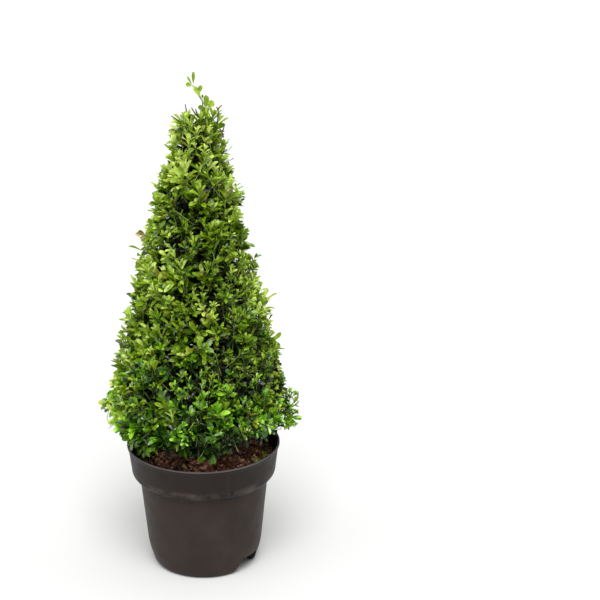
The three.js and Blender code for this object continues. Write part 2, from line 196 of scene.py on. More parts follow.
def heightMask(tree, low, high, soft):
    # 1 between two heights in metres, fading over soft
    position = tree.nodes.new("ShaderNodeTexCoord")
    split = tree.nodes.new("ShaderNodeSeparateXYZ")
    tree.links.new(position.outputs["Object"], split.inputs[0])
    edges = []
    for begin, end in ((low - soft, low), (high + soft, high)):
        edge = tree.nodes.new("ShaderNodeMapRange")
        edge.inputs["From Min"].default_value = begin
        edge.inputs["From Max"].default_value = end
        tree.links.new(split.outputs["Z"], edge.inputs["Value"])
        edges.append(edge.outputs[0])
    return multiply(tree, *edges)


# Leaf tints from the youngest tip leaves to the oldest ones deep inside, the last two darkened further as
# painted shade for the leaves deep in the crown, then the rarer ones and the glossier greens of the lower
# tiers; glow is the light let through, shine the strength of the highlight
leafTints = {
    "leafLime": {"tone": (188, 206, 104), "gloss": 0.26, "glow": 0.26},
    "leafFresh": {"tone": (150, 178, 56), "gloss": 0.26, "glow": 0.24},
    "leafGrass": {"tone": (122, 152, 30), "gloss": 0.24, "glow": 0.20},
    "leafMid": {"tone": (90, 121, 18), "gloss": 0.23, "glow": 0.16},
    "leafDeep": {"tone": (56, 82, 12), "gloss": 0.23, "glow": 0.10},
    # painted shade: the two darkest tints, for leaves deep inside the crown
    "leafShade": {"tone": (22, 44, 6), "gloss": 0.3, "glow": 0.05},
    "leafOldShade": {"tone": (9, 22, 3), "gloss": 0.42, "glow": 0.02},
    "leafOlive": {"tone": (118, 118, 36), "gloss": 0.38, "glow": 0.14},
    "leafDry": {"tone": (170, 146, 108), "gloss": 0.62, "glow": 0.10},
    "leafPale": {"tone": (118, 146, 88), "gloss": 0.36, "glow": 0.14},
    "leafBright": {"tone": (140, 188, 44), "gloss": 0.24, "glow": 0.22, "shine": 0.75},
    "leafGreen": {"tone": (92, 142, 17), "gloss": 0.22, "glow": 0.18, "shine": 0.8},
    "leafPine": {"tone": (46, 82, 10), "gloss": 0.22, "glow": 0.12, "shine": 0.8},
}
# what each of the first seven becomes on the greener sprigs low down
greenerNames = ["leafBright", "leafBright", "leafGreen", "leafPine", "leafPine", "leafShade", "leafOldShade"]


def leafMaterial(name, tone, gloss, glow, shine=0.34):
    material, tree, shader = newMaterial(name)
    colour = linear(*tone)
    blotch = noiseAt(tree, scale=130, detail=2.5)
    tint = rampOf(tree, blotch, [(0.32, scaled(colour, 0.68)), (0.5, colour), (0.7, scaled(colour, 1.4))])
    sheen = greysOf(tree, noiseAt(tree, scale=260, detail=2), (0.3, gloss - 0.06), (0.7, gloss + 0.10))
    dress(tree, shader, tint, sheen, shine)
    bumpFrom(tree, noiseAt(tree, scale=700, detail=2), shader, strength=0.18, distance=0.0006)
    through = tree.nodes.new("ShaderNodeBsdfTranslucent")
    litThrough = scaled((colour[0] * 1.25, colour[1] * 1.3, colour[2] * 0.5), 1.0)
    through.inputs["Color"].default_value = (*litThrough, 1)
    mix = tree.nodes.new("ShaderNodeMixShader")
    mix.inputs["Fac"].default_value = glow
    tree.links.new(shader.outputs["BSDF"], mix.inputs[1])
    tree.links.new(through.outputs["BSDF"], mix.inputs[2])
    tree.links.new(mix.outputs["Shader"], tree.nodes["Material Output"].inputs["Surface"])
    return material


def twigMaterial(name, *tones):
    material, tree, shader = newMaterial(name)
    tint = tintsOf(tree, noiseAt(tree, scale=140, detail=4), (0.3, 0.5, 0.72), tones)
    dress(tree, shader, tint, roughness=0.78)
    bumpFrom(tree, noiseAt(tree, scale=600, detail=3), shader, strength=0.5, distance=0.001)
    return material


def barkMaterial():
    material, tree, shader = newMaterial("boxBark")
    furrow = noiseAt(tree, scale=160, detail=6, roughness=0.65, stretch=(1, 1, 0.22))
    tones = [(58, 46, 34), (112, 96, 74), (150, 136, 112), (176, 166, 140)]
    dress(tree, shader, tintsOf(tree, furrow, (0.3, 0.48, 0.66, 0.8), tones), roughness=0.9)
    bumpFrom(tree, furrow, shader, strength=0.8, distance=0.003)
    return material


# Painted shade in the compost: below this height the bed is darkened
soilHollowShade = {"top": 0.2125, "soft": 0.005, "shade": 0.75, "tone": (16, 8, 5)}  # up to this height in metres


def soilMaterial(name, scale, *tones):
    # grainy crumbs, with painted shade darkening the hollows of the bed
    material, tree, shader = newMaterial(name)
    tint = tintsOf(tree, noiseAt(tree, scale, detail=6, roughness=0.62), (0.3, 0.5, 0.74), tones)
    # painted shade in the low parts of the bed
    hollowShade = multiply(tree, heightMask(tree, 0.0, soilHollowShade["top"], soilHollowShade["soft"]), soilHollowShade["shade"])
    withHollowShade = mixColour(tree, hollowShade, tint, linear(*soilHollowShade["tone"]))
    dress(tree, shader, withHollowShade, roughness=0.92, specular=0.15)
    bumpFrom(tree, noiseAt(tree, scale * 2.2, detail=4), shader, strength=0.6, distance=0.002)
    return material


leafFinishes = [leafMaterial(name, **look) for name, look in leafTints.items()]
tintIndex = {name: index for index, name in enumerate(leafTints)}
greenerTint = np.array([tintIndex[name] for name in greenerNames])
print("leaf and bark materials made")


# Shapes as arrays, in millimetres: corner points, the corners of every face in a row, where each face
# starts, its finish

def joinShapes(shapes):
    points, corners, starts, finish = [], [], [], []
    pointCount = cornerCount = 0
    for shapePoints, shapeCorners, shapeStarts, shapeFinish in shapes:
        points.append(shapePoints)
        corners.append(shapeCorners + pointCount)
        starts.append(shapeStarts + cornerCount)
        finish.append(shapeFinish)
        pointCount += len(shapePoints)
        cornerCount += len(shapeCorners)
    return tuple(np.concatenate(part) for part in (points, corners, starts, finish))


def makePiece(name, shapes, finishes, replaced=(), smooth=True):
    points, corners, starts, finish = joinShapes(shapes)
    mesh = bpy.data.meshes.new(name)
    mesh.vertices.add(len(points))
    mesh.vertices.foreach_set("co", (points * 0.001).astype(np.float32).ravel())
    mesh.loops.add(len(corners))
    mesh.polygons.add(len(starts))
    mesh.polygons.foreach_set("loop_start", starts.astype(np.int32))
    mesh.polygons.foreach_set("vertices", corners.astype(np.int32))
    mesh.polygons.foreach_set("material_index", finish.astype(np.int32))
    mesh.polygons.foreach_set("use_smooth", np.full(len(starts), smooth))
    mesh.update(calc_edges=True)
    mesh.validate()
    for material in finishes:
        mesh.materials.append(material)
    return settle(placeObject(name, mesh), replaced)


def settle(piece, replaced=()):
    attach(piece, "root")
    if replaced:
        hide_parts(*replaced)
    print(piece.name, len(piece.data.polygons), "faces")
    return piece


def unit(vectors):
    return vectors / np.maximum(np.linalg.norm(vectors, axis=-1, keepdims=True), 1e-9)


def grade(value, change):
    # a gradual change: its amount, where it starts and how far on it is complete (below nought: downward)
    amount, start, reach = change
    return amount * np.clip((value - start) / reach, 0, 1)


def fullTurn(steps):
    return np.arange(steps) * 2 * math.pi / steps


def ringQuads(rings, sides, closed=False):
    # the corners of every face between neighbouring rings of points
    row, step = np.meshgrid(np.arange(rings if closed else rings - 1), np.arange(sides), indexing="ij")
    after, nextRow = (step + 1) % sides, (row + 1) % rings
    return np.stack([row * sides + step, row * sides + after,
                     nextRow * sides + after, nextRow * sides + step], -1).reshape(-1, 4)


def repeated(pattern, count, stride):
    # the same numbers for every copy of a shape, moved on by a stride each time
    return (pattern[None] + (np.arange(count) * stride)[:, None]).ravel()


def tubes(lines, radii, sides, finish=0):
    # many round limbs at once: lines is (limbs, rings, 3) and radii (limbs, rings)
    limbs, rings, _ = lines.shape
    ahead = unit(np.gradient(lines, axis=1))
    guide = np.where(np.abs(ahead[:, :1, 2:]) > 0.8, [[[0.0, 1.0, 0.0]]], [[[0.0, 0.0, 1.0]]])
    side = unit(np.cross(np.broadcast_to(guide, ahead.shape), ahead))
    across = np.cross(ahead, side)
    turn = fullTurn(sides)
    ring = (side[:, :, None] * np.cos(turn)[None, None, :, None]
            + across[:, :, None] * np.sin(turn)[None, None, :, None])
    points = (lines[:, :, None] + ring * radii[:, :, None, None]).reshape(-1, 3)
    quads = ringQuads(rings, sides)
    caps = np.stack([np.arange(sides)[::-1], (rings - 1) * sides + np.arange(sides)])
    corners = np.concatenate([quads.ravel(), caps.ravel()])
    starts = np.concatenate([np.arange(len(quads)) * 4, len(quads) * 4 + np.arange(2) * sides])
    allStarts = repeated(starts, limbs, len(corners))
    return points, repeated(corners, limbs, rings * sides), allStarts, np.full(len(allStarts), finish)


def taperedTubes(lines, radius, thick, thin, sides, finish=0):
    # limbs that go from a thick share of the radius to a thin one
    radii = np.linspace(thick, thin, lines.shape[1]) * radius
    return tubes(lines, np.broadcast_to(radii, lines.shape[:2]), sides, finish)


def bend(begin, middle, end, steps):
    # a smooth curve through many sets of three control points
    along = np.linspace(0, 1, steps + 1)[None, :, None]
    return ((1 - along) ** 2 * begin[:, None] + 2 * along * (1 - along) * middle[:, None]
            + along ** 2 * end[:, None])


# The clipped cone and its rooms, by the same sizes as the solids

crown = {
    "widestHeight": 300, "widestRadius": 174, "shoulderHeight": 846, "shoulderRadius": 35, "top": 872,
    "skirtDraw": 0.0125, "offsetAtWidest": -6.7, "offsetPerHeight": 0.0081,
    "lumps": [(3.4, 3, 45), (2.4, 7, -28)],  # size, how many round the crown, wave length up it
    "bumps": [  # angle in degrees, height, how far it stands out, half width in degrees, half height
        (0, 288, 13, 40, 16), (0, 366, -20, 42, 56), (0, 500, 5, 40, 24), (0, 625, -17, 45, 34),
        (0, 714, 7, 30, 10), (0, 785, -6, 40, 20), (0, 842, -7, 40, 10),
        (180, 330, -4, 40, 30), (180, 430, -8, 42, 60), (180, 600, -5, 40, 30), (180, 652, -5, 40, 12),
        (180, 700, 14, 45, 20), (180, 777, -9, 50, 16), (180, 845, -6, 50, 12), (180, 872, -14, 60, 10),
    ],
    "hollowShare": 0.42, "hollowLeast": 15, "faceLeast": 4, "headroom": 3,
    "edgeWave": 7, "edgeTurn": 1.7,  # of the seams between the tiers
    "sideWave": 0.09, "sideWaveLength": 30,  # of the seams between the masses
}
tiers = [
    {"name": "skirt", "foot": 262, "masses": 6, "turn": -0.4},
    {"name": "lower", "foot": 372, "masses": 5, "turn": 0.5},
    {"name": "middle", "foot": 480, "masses": 4, "turn": 0.2},
    {"name": "upper", "foot": 586, "masses": 3, "turn": 1.1},
    {"name": "neck", "foot": 692, "masses": 2, "turn": 0.3},
    {"name": "tip", "foot": 798, "masses": 1, "turn": 0.0},
]


def crownRadius(z):
    below = crown["widestRadius"] - crown["skirtDraw"] * (crown["widestHeight"] - z) ** 2
    share = (z - crown["widestHeight"]) / (crown["shoulderHeight"] - crown["widestHeight"])
    side = crown["widestRadius"] + (crown["shoulderRadius"] - crown["widestRadius"]) * share
    over = np.clip((z - crown["shoulderHeight"]) / (crown["top"] - crown["shoulderHeight"]), 0, 1)
    dome = crown["shoulderRadius"] * np.sqrt(1 - over ** 2)
    return np.where(z < crown["widestHeight"], below, np.where(z < crown["shoulderHeight"], side, dome))


def wrapped(angle):
    return (angle + math.pi) % (2 * math.pi) - math.pi


def faceRadius(angle, z):
    offset = crown["offsetAtWidest"] + crown["offsetPerHeight"] * (z - crown["widestHeight"])
    lumps = sum(size * np.sin(turns * angle + z / wave) for size, turns, wave in crown["lumps"])
    bumps = sum(size * np.exp(-(wrapped(angle - math.radians(turn)) / math.radians(wide)) ** 2
                              - ((z - height) / tall) ** 2)
                for turn, height, size, wide, tall in crown["bumps"])
    return crownRadius(z) + offset * np.cos(angle) + lumps + bumps


def hollowRadius(z):
    return np.maximum(crown["hollowLeast"], crown["hollowShare"] * crownRadius(z))


def polar(angle, radius, z):
    return np.stack([np.cos(angle) * radius, np.sin(angle) * radius, z + 0 * angle], -1)


def tierEdge(index, angle):
    if index == len(tiers):
        return crown["top"] + 0 * angle
    return tiers[index]["foot"] + crown["edgeWave"] * np.sin(2 * angle + index * crown["edgeTurn"])


def rooms():
    for index, tier in enumerate(tiers):
        width = 2 * math.pi / tier["masses"]
        for sector in range(tier["masses"]):
            yield {"tier": tier, "index": index, "sector": sector, "width": width,
                   "middle": tier["turn"] + (sector + 0.5) * width,
                   "whole": tier["masses"] == 1}


# The stem: trunk and leader on one line, and a bough to every mass

stem = {
    "soilLevel": 211, "flareRadius": 17, "flareHeight": 16, "footRadius": 10, "forkRadius": 8,
    "forkHeight": 296, "lean": 3, "tipRadius": 2.6, "tipHeight": 786, "sway": 5, "sideSway": 0.6,
    "trunkRings": 46, "leaderRings": 150, "buried": 0.5,
}
bough = {
    "height": 0.36,  # share of the way up its tier
    "short": 6,  # ends this far before the hollow's edge
    "rise": 0.62, "stagger": 13, "lowest": 20,  # of its foot, under its tip and over the soil
    "sag": 0.14, "foot": 0.46, "tip": 0.66, "thinnest": 1.5, "steps": 26,
    "seed": 40,
}
barkRidges = [(1.0, 5, 1.1), (0.7, 9, -1.7), (0.6, 3, 4.3)]  # size, how many round the limb, twist


def stemLine(z):
    up = (z - stem["soilLevel"]) / (stem["tipHeight"] - stem["soilLevel"])
    return np.stack([stem["lean"] * np.sin(up * 3) + stem["sway"] * np.sin(up * 5) * up,
                     -stem["sway"] * stem["sideSway"] * np.sin(up * 4) * up, z + 0 * up], -1)


def stemRadius(z):
    flare = np.clip(1 - (z - stem["soilLevel"]) / stem["flareHeight"], 0, 1)
    share = (z - stem["soilLevel"]) / (stem["forkHeight"] - stem["soilLevel"])
    trunkPart = (stem["footRadius"] + (stem["forkRadius"] - stem["footRadius"]) * share
                 + (stem["flareRadius"] - stem["footRadius"]) * flare ** 2)
    upper = (z - stem["forkHeight"]) / (stem["tipHeight"] - stem["forkHeight"])
    leaderPart = stem["forkRadius"] + (stem["tipRadius"] - stem["forkRadius"]) * upper
    return np.where(z < stem["forkHeight"], trunkPart, leaderPart)


def boughRoute(room):
    middle = room["middle"]
    foot = tierEdge(room["index"], middle)
    height = foot + bough["height"] * (tierEdge(room["index"] + 1, middle) - foot)
    reach = hollowRadius(height) - bough["short"]
    drop = reach * bough["rise"] + (room["sector"] % 2) * bough["stagger"]
    footHeight = max(height - drop, stem["soilLevel"] + bough["lowest"])
    begin, end = stemLine(np.float64(footHeight)), polar(middle, reach, height)
    half = (begin + end) / 2 - [0, 0, reach * bough["sag"]]
    return begin, half, end


def roughTube(line, radii, sides, relief, seed):
    # a limb with furrowed bark: long low ridges that wander round it
    points, corners, starts, finish = tubes(line[None], radii[None], sides)
    rings = len(line)
    turn = fullTurn(sides)
    rise = np.linspace(0, rings / 9, rings)[:, None]
    rng = np.random.default_rng(seed)
    phases = rng.uniform(0, 6.28, 4)
    ridges = sum(size * np.sin(count * turn + twist * rise + phase)
                 for (size, count, twist), phase in zip(barkRidges, phases))
    ridges = ridges + 0.8 * rng.normal(size=(rings, sides))
    centre = np.repeat(line, sides, axis=0)
    swell = 1 + relief * ridges.reshape(-1, 1)
    return centre + (points - centre) * swell, corners, starts, finish


def stemPiece(name, low, high, rings, replaced, **bark):
    heights = np.linspace(low, high, rings)
    limb = roughTube(stemLine(heights), stemRadius(heights), **bark)
    makePiece(name, [limb], [barkFinish], [replaced])


barkFinish = barkMaterial()
stemPiece("trunkBark", stem["soilLevel"] - stem["buried"], stem["forkHeight"], stem["trunkRings"], "trunk",
          sides=28, relief=0.045, seed=3)
stemPiece("leaderBark", stem["forkHeight"], stem["tipHeight"], stem["leaderRings"], "leader",
          sides=18, relief=0.04, seed=5)

boughShapes, boughNames = [], []
for number, room in enumerate(rooms()):
    if room["whole"]:
        continue
    begin, half, end = (np.asarray(point, float)[None] for point in boughRoute(room))
    line = bend(begin, half, end, bough["steps"])[0]
    footRadius = float(stemRadius(begin[0, 2])) * bough["foot"]
    radii = np.linspace(footRadius, max(footRadius * bough["tip"], bough["thinnest"]), len(line))
    boughShapes.append(roughTube(line, radii, sides=14, relief=0.05, seed=bough["seed"] + number))
    boughNames.append(f"bough_{room['tier']['name']}_{room['sector'] + 1}")
makePiece("boughBark", boughShapes, [barkFinish], boughNames)


# Leafy growth: from each bough's tip a stem, branchlets to domed clumps, twigs, and sprigs of paired leaves.
# Three numbers for a change are its amount, the height where it starts and how far on it is complete.

growth = {
    "seed": 7, "tierSeed": 101, "fringeSeed": 83,
    "clumpSpacing": 45,  # between the clumps of a mass
    "clumpDome": 25,  # a clump's edge lies this much deeper than its middle
    "clumpEdge": 0.8, "clumpEdgeSpread": 0.07,  # past this share of the way to the next clump no sprig grows
    "standOut": (-8, 7),  # of a clump's middle from the clipped face
    "clumpVigour": 0.3, "clumpTone": 0.65,  # how much whole clumps differ
    "branchletDepth": 50, "branchletShare": 0.5,  # under the face, and at most this share of the radius
    "branchletDrop": 6, "branchletSag": 5, "branchletWander": 4,
    "fullness": 1.03, "unevenness": 0.02,  # of the scatter over a mass's face
    "shearedTop": 838,  # only the named peaks rise above this
    "hem": 33,  # the lowest sprig tips stay this far above the skirt's lower edge
    "hemRise": 20, "hemRiseTurn": -46, "hemRisePower": 6,  # and higher to the right of the front
    "lowestFoot": 276,
    "liftStart": 275, "liftReach": 110, "liftLeast": -0.1, "liftMost": 0.85,  # sprigs turn upward with height
    "topLift": (1.1, 740, 100),
    "stemRadius": 2.4, "branchletRadius": 1.7, "twigRadius": 1.0, "sprigRadius": 0.74,
    "stemShare": 0.26, "stemLeast": 14, "tipStem": 26,
    "footWander": 0.3, "bow": 0.1, "linkCurve": 0.4,  # of a sprig and of the twig that carries it
}
outer = {  # sprigs on the clipped face
    "spacing": 14.6,  # between their tips
    "length": (34, 50), "lengthShare": 0.8, "lengthMore": 8,  # of the leafy part; shorter near the axis
    "out": 0.7,
    "fan": 0.75,  # how far a clump's outer sprigs lean away from its middle
    "wander": 0.24, "depthSpread": 3, "leftDepth": 3,
    "vigour": 0.45, "vigourSpread": 0.22, "vigourRight": -0.35, "vigourTop": (0.25, 640, 160),
    "weakest": -0.2, "strongest": 1.3,
    "green": 1.3, "greenStart": 250, "greenReach": 210, "greenMost": 0.95, "greenSides": 0.6,
}
# Tip-leaf tone also holds painted light and shade: lighter on the left and toward the left and right edges,
# darker toward the seams between clumps and under the hem's right
outerTone = {  # of their tip leaves: 0 is the youngest tint, 6 the oldest
    "face": 1.25, "height": (-0.3, 250, 600), "top": (-1.6, 720, 110), "left": -0.15, "sides": -0.55,
    "seamShade": 1.1, "spread": 0.55,
    "hemShade": (3.2, 20, 25), "hemFront": 0.353, "hemHeight": 266, "hemReach": 12,  # under the hem's right
}
# Painted shade: the inner sprigs take the darkest tints, less dark near the top
inner = {  # shaded sprigs under the outer ones
    "spacing": 18, "depth": (32, 72), "depthShare": 0.6, "belowTop": 22, "scatter": 0.65,
    "length": (22, 34), "vigour": (0.3, 0.2), "tone": (5.6, 0.5), "topTone": (-3.2, 740, 90), "green": 0.4,
}
# Painted shade: the heart sprigs under the skirt take the darkest tints
heart = {  # shaded sprigs between the boughs of the skirt, and across its open underside
    "count": 420, "innermost": 36, "band": 104, "low": 7, "tall": 118, "lowShare": 1.5, "rightRise": 22,
    "lift": (-0.1, 0.5), "scatter": 0.5,
    "length": (24, 36), "vigour": (0.3, 0.2), "tone": (5.4, 0.7), "green": 0.5,
}
named = {"length": (34, 44), "vigour": (0.45, 1.0), "toneSpread": 0.3}
pairs = {  # of leaves, from the tip down
    "back": [0.6, 4.0, 9.0, 15.0, 21.6, 29.0, 37.0],
    "size": [0.56, 0.84, 1.0, 1.04, 1.0, 0.94, 0.88],
    "spread": [12, 27, 38, 46, 53, 60, 68], "uneven": 7, "leafUneven": 6,  # degrees
    "closer": 0.85, "byVigour": 0.3,  # share of the distance back, on a weak sprig and for its vigour
    "present": [1.0, 1.0, 1.0, 0.93, 0.78, 0.52, 0.28],
}
peaks = [  # tip and lean
    ((-22, -8, 848), (-0.15, 0, 1)), ((-33, -5, 838), (-0.5, 0, 1)), ((-14, -13, 838), (-0.1, -0.2, 1)),
    ((7, -11, 850), (0.05, -0.1, 1)), ((15, -8, 855), (0.1, 0, 1)), ((27, -8, 851), (0.15, -0.1, 1)),
    ((35, -5, 840), (0.3, 0, 1)), ((12, 14, 850), (0.1, 0.3, 1)), ((-14, 18, 843), (-0.1, 0.3, 1)),
    ((27, 13, 845), (0.2, 0.3, 1)), ((-25, 11, 840), (-0.3, 0.2, 1)), ((20, -20, 838), (0.1, -0.35, 1)),
]
shearedSides = [  # side, height, depth and reach of the hollows that the shears left; swells are below nought
    (1, 838, 9, 12), (1, 720, -9, 8), (1, 568, 7, 14), (1, 532, -7, 8), (1, 508, 7, 16), (1, 380, -5, 8),
    (1, 337, 8, 12), (1, 275, 8, 10), (-1, 827, 8, 14), (-1, 776, 9, 9), (-1, 680, -7, 16), (-1, 605, -4, 8),
    (-1, 562, -8, 9), (-1, 480, 6, 24), (-1, 325, 9, 12), (-1, 286, -6, 8),
]
leftFringe = [  # tip and lean
    ((-134, -18, 254), (-0.7, -0.2, -0.5)), ((-144, -6, 265), (-0.8, -0.1, -0.4)),
    ((-128, -36, 252), (-0.6, -0.4, -0.6)), ((-124, -8, 250), (-0.6, -0.1, -0.7)),
    ((-137, 8, 260), (-0.8, 0.1, -0.4)),
]
hanging = [  # tip and lean
    ((0, -112, 259), (-0.4, -0.8, -0.4)), ((12, -116, 261), (0.4, -0.9, -0.3)),
    ((6, -110, 255), (0.1, -0.7, -0.7)), ((-118, -20, 247), (-0.5, -0.2, -0.8)),
    ((-124, -4, 254), (-0.7, -0.1, -0.6)), ((-110, -42, 244), (-0.5, -0.4, -0.7)),
    ((-100, -56, 252), (-0.4, -0.6, -0.6)), ((-86, -78, 260), (-0.4, -0.7, -0.4)),
    ((164, -28, 291), (0.8, -0.3, -0.2)), ((157, -46, 287), (0.7, -0.5, -0.3)),
    ((166, -8, 297), (0.9, -0.1, -0.1)), ((150, -34, 284), (0.6, -0.4, -0.5)),
    ((-34, -106, 264), (-0.2, -0.8, -0.3)), ((36, -102, 266), (0.2, -0.8, -0.2)),
    ((-112, -40, 268), (-0.8, -0.4, -0.3)), ((88, 84, 264), (0.7, 0.7, -0.3)),
    ((-60, 106, 262), (-0.5, 0.8, -0.3)), ((20, 124, 266), (0.1, 0.8, -0.3)),
]
leafShape = {
    "length": 19.2, "lengthSpread": 0.14, "least": 5, "most": 28, "weak": 0.72, "byVigour": 0.56,
    "widthShare": 0.345, "widthSpread": 0.045, "lowWidth": (0.07, 420, -120),
    "narrowest": 0.26, "widest": 0.5,
    "curl": (-0.05, 0.3), "cup": (0.12, 0.95), "twist": 0.26, "faceUp": 0.3, "scatter": 0.10,
}
leafMix = {"older": 0.8, "spread": 0.5, "pale": 0.05, "dry": 0.008, "dryLength": 0.4, "olive": 0.04}
goldenShare, goldenTurn = 0.618034, 2.399963  # each step lands far from the last ones


def leafTemplate(rows):
    # rows are (along, half width), each with a left, a middle and a right corner, between root and tip
    along = [0.0] + [row[0] for row in rows for _ in range(3)] + [1.0]
    side = [0.0] + [sign * row[1] for row in rows for sign in (-1, 0, 1)] + [0.0]
    last = len(along) - 1
    faces = [(0, 2, 1), (0, 3, 2)]
    for row in range(len(rows) - 1):
        left = 1 + row * 3
        faces += [(left, left + 1, left + 4, left + 3), (left + 1, left + 2, left + 5, left + 4)]
    left = 1 + (len(rows) - 1) * 3
    faces += [(left, left + 1, last), (left + 1, left + 2, last)]
    corners = np.array([corner for face in faces for corner in face])
    starts = np.cumsum([0] + [len(face) for face in faces])[:-1]
    return np.array(along), np.array(side), corners, starts


fineLeaf = leafTemplate([(0.10, 0.18), (0.32, 0.62), (0.56, 0.96), (0.77, 1.0), (0.93, 0.62)])
plainLeaf = leafTemplate([(0.34, 0.70), (0.78, 0.96)])


def leafShapes(template, place, ahead, upper, length, width, curl, cup, finish):
    along, side, corners, starts = template
    across = unit(np.cross(upper, ahead))
    upper = np.cross(ahead, across)
    rise = (-curl[:, None] * length[:, None] * along ** 2
            + cup[:, None] * width[:, None] * 0.5 * np.abs(side))
    reach = length[:, None] * along
    points = (place[:, None] + reach[..., None] * ahead[:, None]
              + (0.5 * width[:, None] * side)[..., None] * across[:, None] + rise[..., None] * upper[:, None])
    count = len(place)
    return (points.reshape(-1, 3), repeated(corners, count, len(along)),
            repeated(starts, count, len(corners)), np.repeat(finish, len(starts)))


def oneLeaf(root, ahead, upper, finish, *measures):
    # measures are the length, the width, the curl and the cup
    return leafShapes(fineLeaf, np.array([root], float), unit(np.array([ahead], float)), np.array([upper]),
                      *(np.array([measure], float) for measure in measures), np.array([finish]))


def hemAt(angle):
    toRight = np.maximum(np.cos(angle - math.radians(growth["hemRiseTurn"])), 0)
    return growth["hem"] + growth["hemRise"] * toRight ** growth["hemRisePower"]


def lattice(room, spacing, rng):
    # an even scatter over a mass's clipped face, by the golden share
    foot, head = tierEdge(room["index"], room["middle"]), tierEdge(room["index"] + 1, room["middle"])
    meanRadius = float(crownRadius(np.float64((foot + head) / 2)))
    count = round(room["width"] * meanRadius * (head - foot) * growth["fullness"] / spacing ** 2)
    order = np.arange(count)
    across = (rng.random() + order * goldenShare + rng.normal(0, growth["unevenness"], count)) % 1
    up = (order + rng.uniform(0, 1, count)) / count
    roughHeight = foot + up * (head - foot)
    wave = np.sin(roughHeight / crown["sideWaveLength"] + room["index"])
    side = room["tier"]["turn"] + room["sector"] * room["width"] + crown["sideWave"] * wave
    angle = side + across * room["width"]
    low, high = tierEdge(room["index"], angle), tierEdge(room["index"] + 1, angle)
    if room["index"] == 0:
        low = low + hemAt(angle)
    return angle, np.minimum(low + up * (high - low), crown["top"] - crown["headroom"])


def outward(angle, z, step=2):
    slope = (faceRadius(angle, z + step) - faceRadius(angle, z - step)) / (2 * step)
    return unit(np.stack([np.cos(angle), np.sin(angle), -slope], -1))


def facePoint(angle, z):
    return polar(angle, np.maximum(faceRadius(angle, z), crown["faceLeast"]), z)


def heartOf(room):
    # where a mass's stem starts and ends
    if room["whole"]:
        entry = stemLine(np.float64(stem["tipHeight"]))
        return entry, entry + [0, 0, growth["tipStem"]]
    _, half, entry = boughRoute(room)
    length = max(float(crownRadius(entry[2])) * growth["stemShare"], growth["stemLeast"])
    return entry, entry + unit(entry - half) * length


def planClumps(roomList):
    # the middle of every clump on the clipped face, and its branchlet from the heart of its mass
    rng = np.random.default_rng(growth["seed"])
    angles, heights, hearts = [], [], []
    for room in roomList:
        angle, z = lattice(room, growth["clumpSpacing"], rng)
        angles.append(angle)
        heights.append(z)
        hearts.append(np.broadcast_to(heartOf(room)[1], (len(angle), 3)))
    angle, z, middles = np.concatenate(angles), np.concatenate(heights), np.concatenate(hearts)
    count = len(angle)
    place, out = facePoint(angle, z), outward(angle, z)
    depth = np.minimum(growth["branchletDepth"], crownRadius(z) * growth["branchletShare"])[:, None]
    base = place - out * depth - [0, 0, growth["branchletDrop"]]
    wander = rng.normal(0, growth["branchletWander"], base.shape)
    halfway = (middles + base) / 2 + wander - [0, 0, growth["branchletSag"]]
    return {
        "place": place, "branchlet": bend(middles, halfway, base, 5),
        "standOut": rng.uniform(*growth["standOut"], count),
        "vigour": rng.normal(0, growth["clumpVigour"], count),
        "tone": rng.normal(0, growth["clumpTone"], count),
    }


def gapsTo(points, clumps):
    return np.linalg.norm(points[:, None] - clumps["place"][None], axis=-1)


def shadedPlan(tip, ahead, own, look, rng):
    count = len(tip)
    return {"tip": tip, "ahead": ahead, "own": own, "length": rng.uniform(*look["length"], count),
            "vigour": rng.normal(*look["vigour"], count), "tone": rng.normal(*look["tone"], count),
            "green": rng.random(count) < look["green"], "shaded": True}


def spotsOn(roomList, spacing, clumps, rng, shaded):
    # angle, height, nearest clump and share of the way to the next one, without the spots left bare
    spots = [lattice(room, spacing, rng) for room in roomList]
    angle, z = (np.concatenate(part) for part in zip(*spots))
    gap = gapsTo(facePoint(angle, z), clumps)
    near, second = np.sort(gap, axis=1)[:, :2].T
    toSeam = near / second
    keep = z < growth["shearedTop"] - (inner["belowTop"] if shaded else 0)
    if not shaded:
        keep &= toSeam < growth["clumpEdge"] + rng.normal(0, growth["clumpEdgeSpread"], len(angle))
    return angle[keep], z[keep], np.argmin(gap, axis=1)[keep], toSeam[keep]


def liftAt(z):
    lift = np.clip((z - growth["liftStart"]) / growth["liftReach"], growth["liftLeast"], growth["liftMost"])
    return np.stack([0 * z, 0 * z, lift + grade(z, growth["topLift"])], -1)


def planInner(roomList, clumps, rng):
    angle, z, own, _ = spotsOn(roomList, inner["spacing"], clumps, rng, True)
    place, out = facePoint(angle, z), outward(angle, z)
    radius = np.hypot(place[:, 0], place[:, 1])
    depth = np.minimum(rng.uniform(*inner["depth"], len(z)), radius * inner["depthShare"])
    ahead = unit(out + liftAt(z) + inner["scatter"] * rng.normal(size=place.shape))
    plan = shadedPlan(place - out * depth[:, None], ahead, own, inner, rng)
    # less painted shade near the top
    plan["tone"] += grade(z, inner["topTone"])
    return plan


def planHeart(clumps, rng):
    count = heart["count"]
    order = np.arange(count) + 0.5
    angle = order * goldenTurn
    radius = heart["innermost"] + heart["band"] * np.sqrt(order / count)
    z = (tierEdge(0, angle) + heart["low"] + heart["tall"] * rng.random(count) ** heart["lowShare"]
         + heart["rightRise"] * np.clip(np.cos(angle), 0, 1))
    tip = polar(angle, radius, z)
    ahead = unit(np.stack([np.cos(angle), np.sin(angle), rng.normal(*heart["lift"], count)], -1)
                 + heart["scatter"] * rng.normal(size=(count, 3)))
    return shadedPlan(tip, ahead, np.argmin(gapsTo(tip, clumps), axis=1), heart, rng)


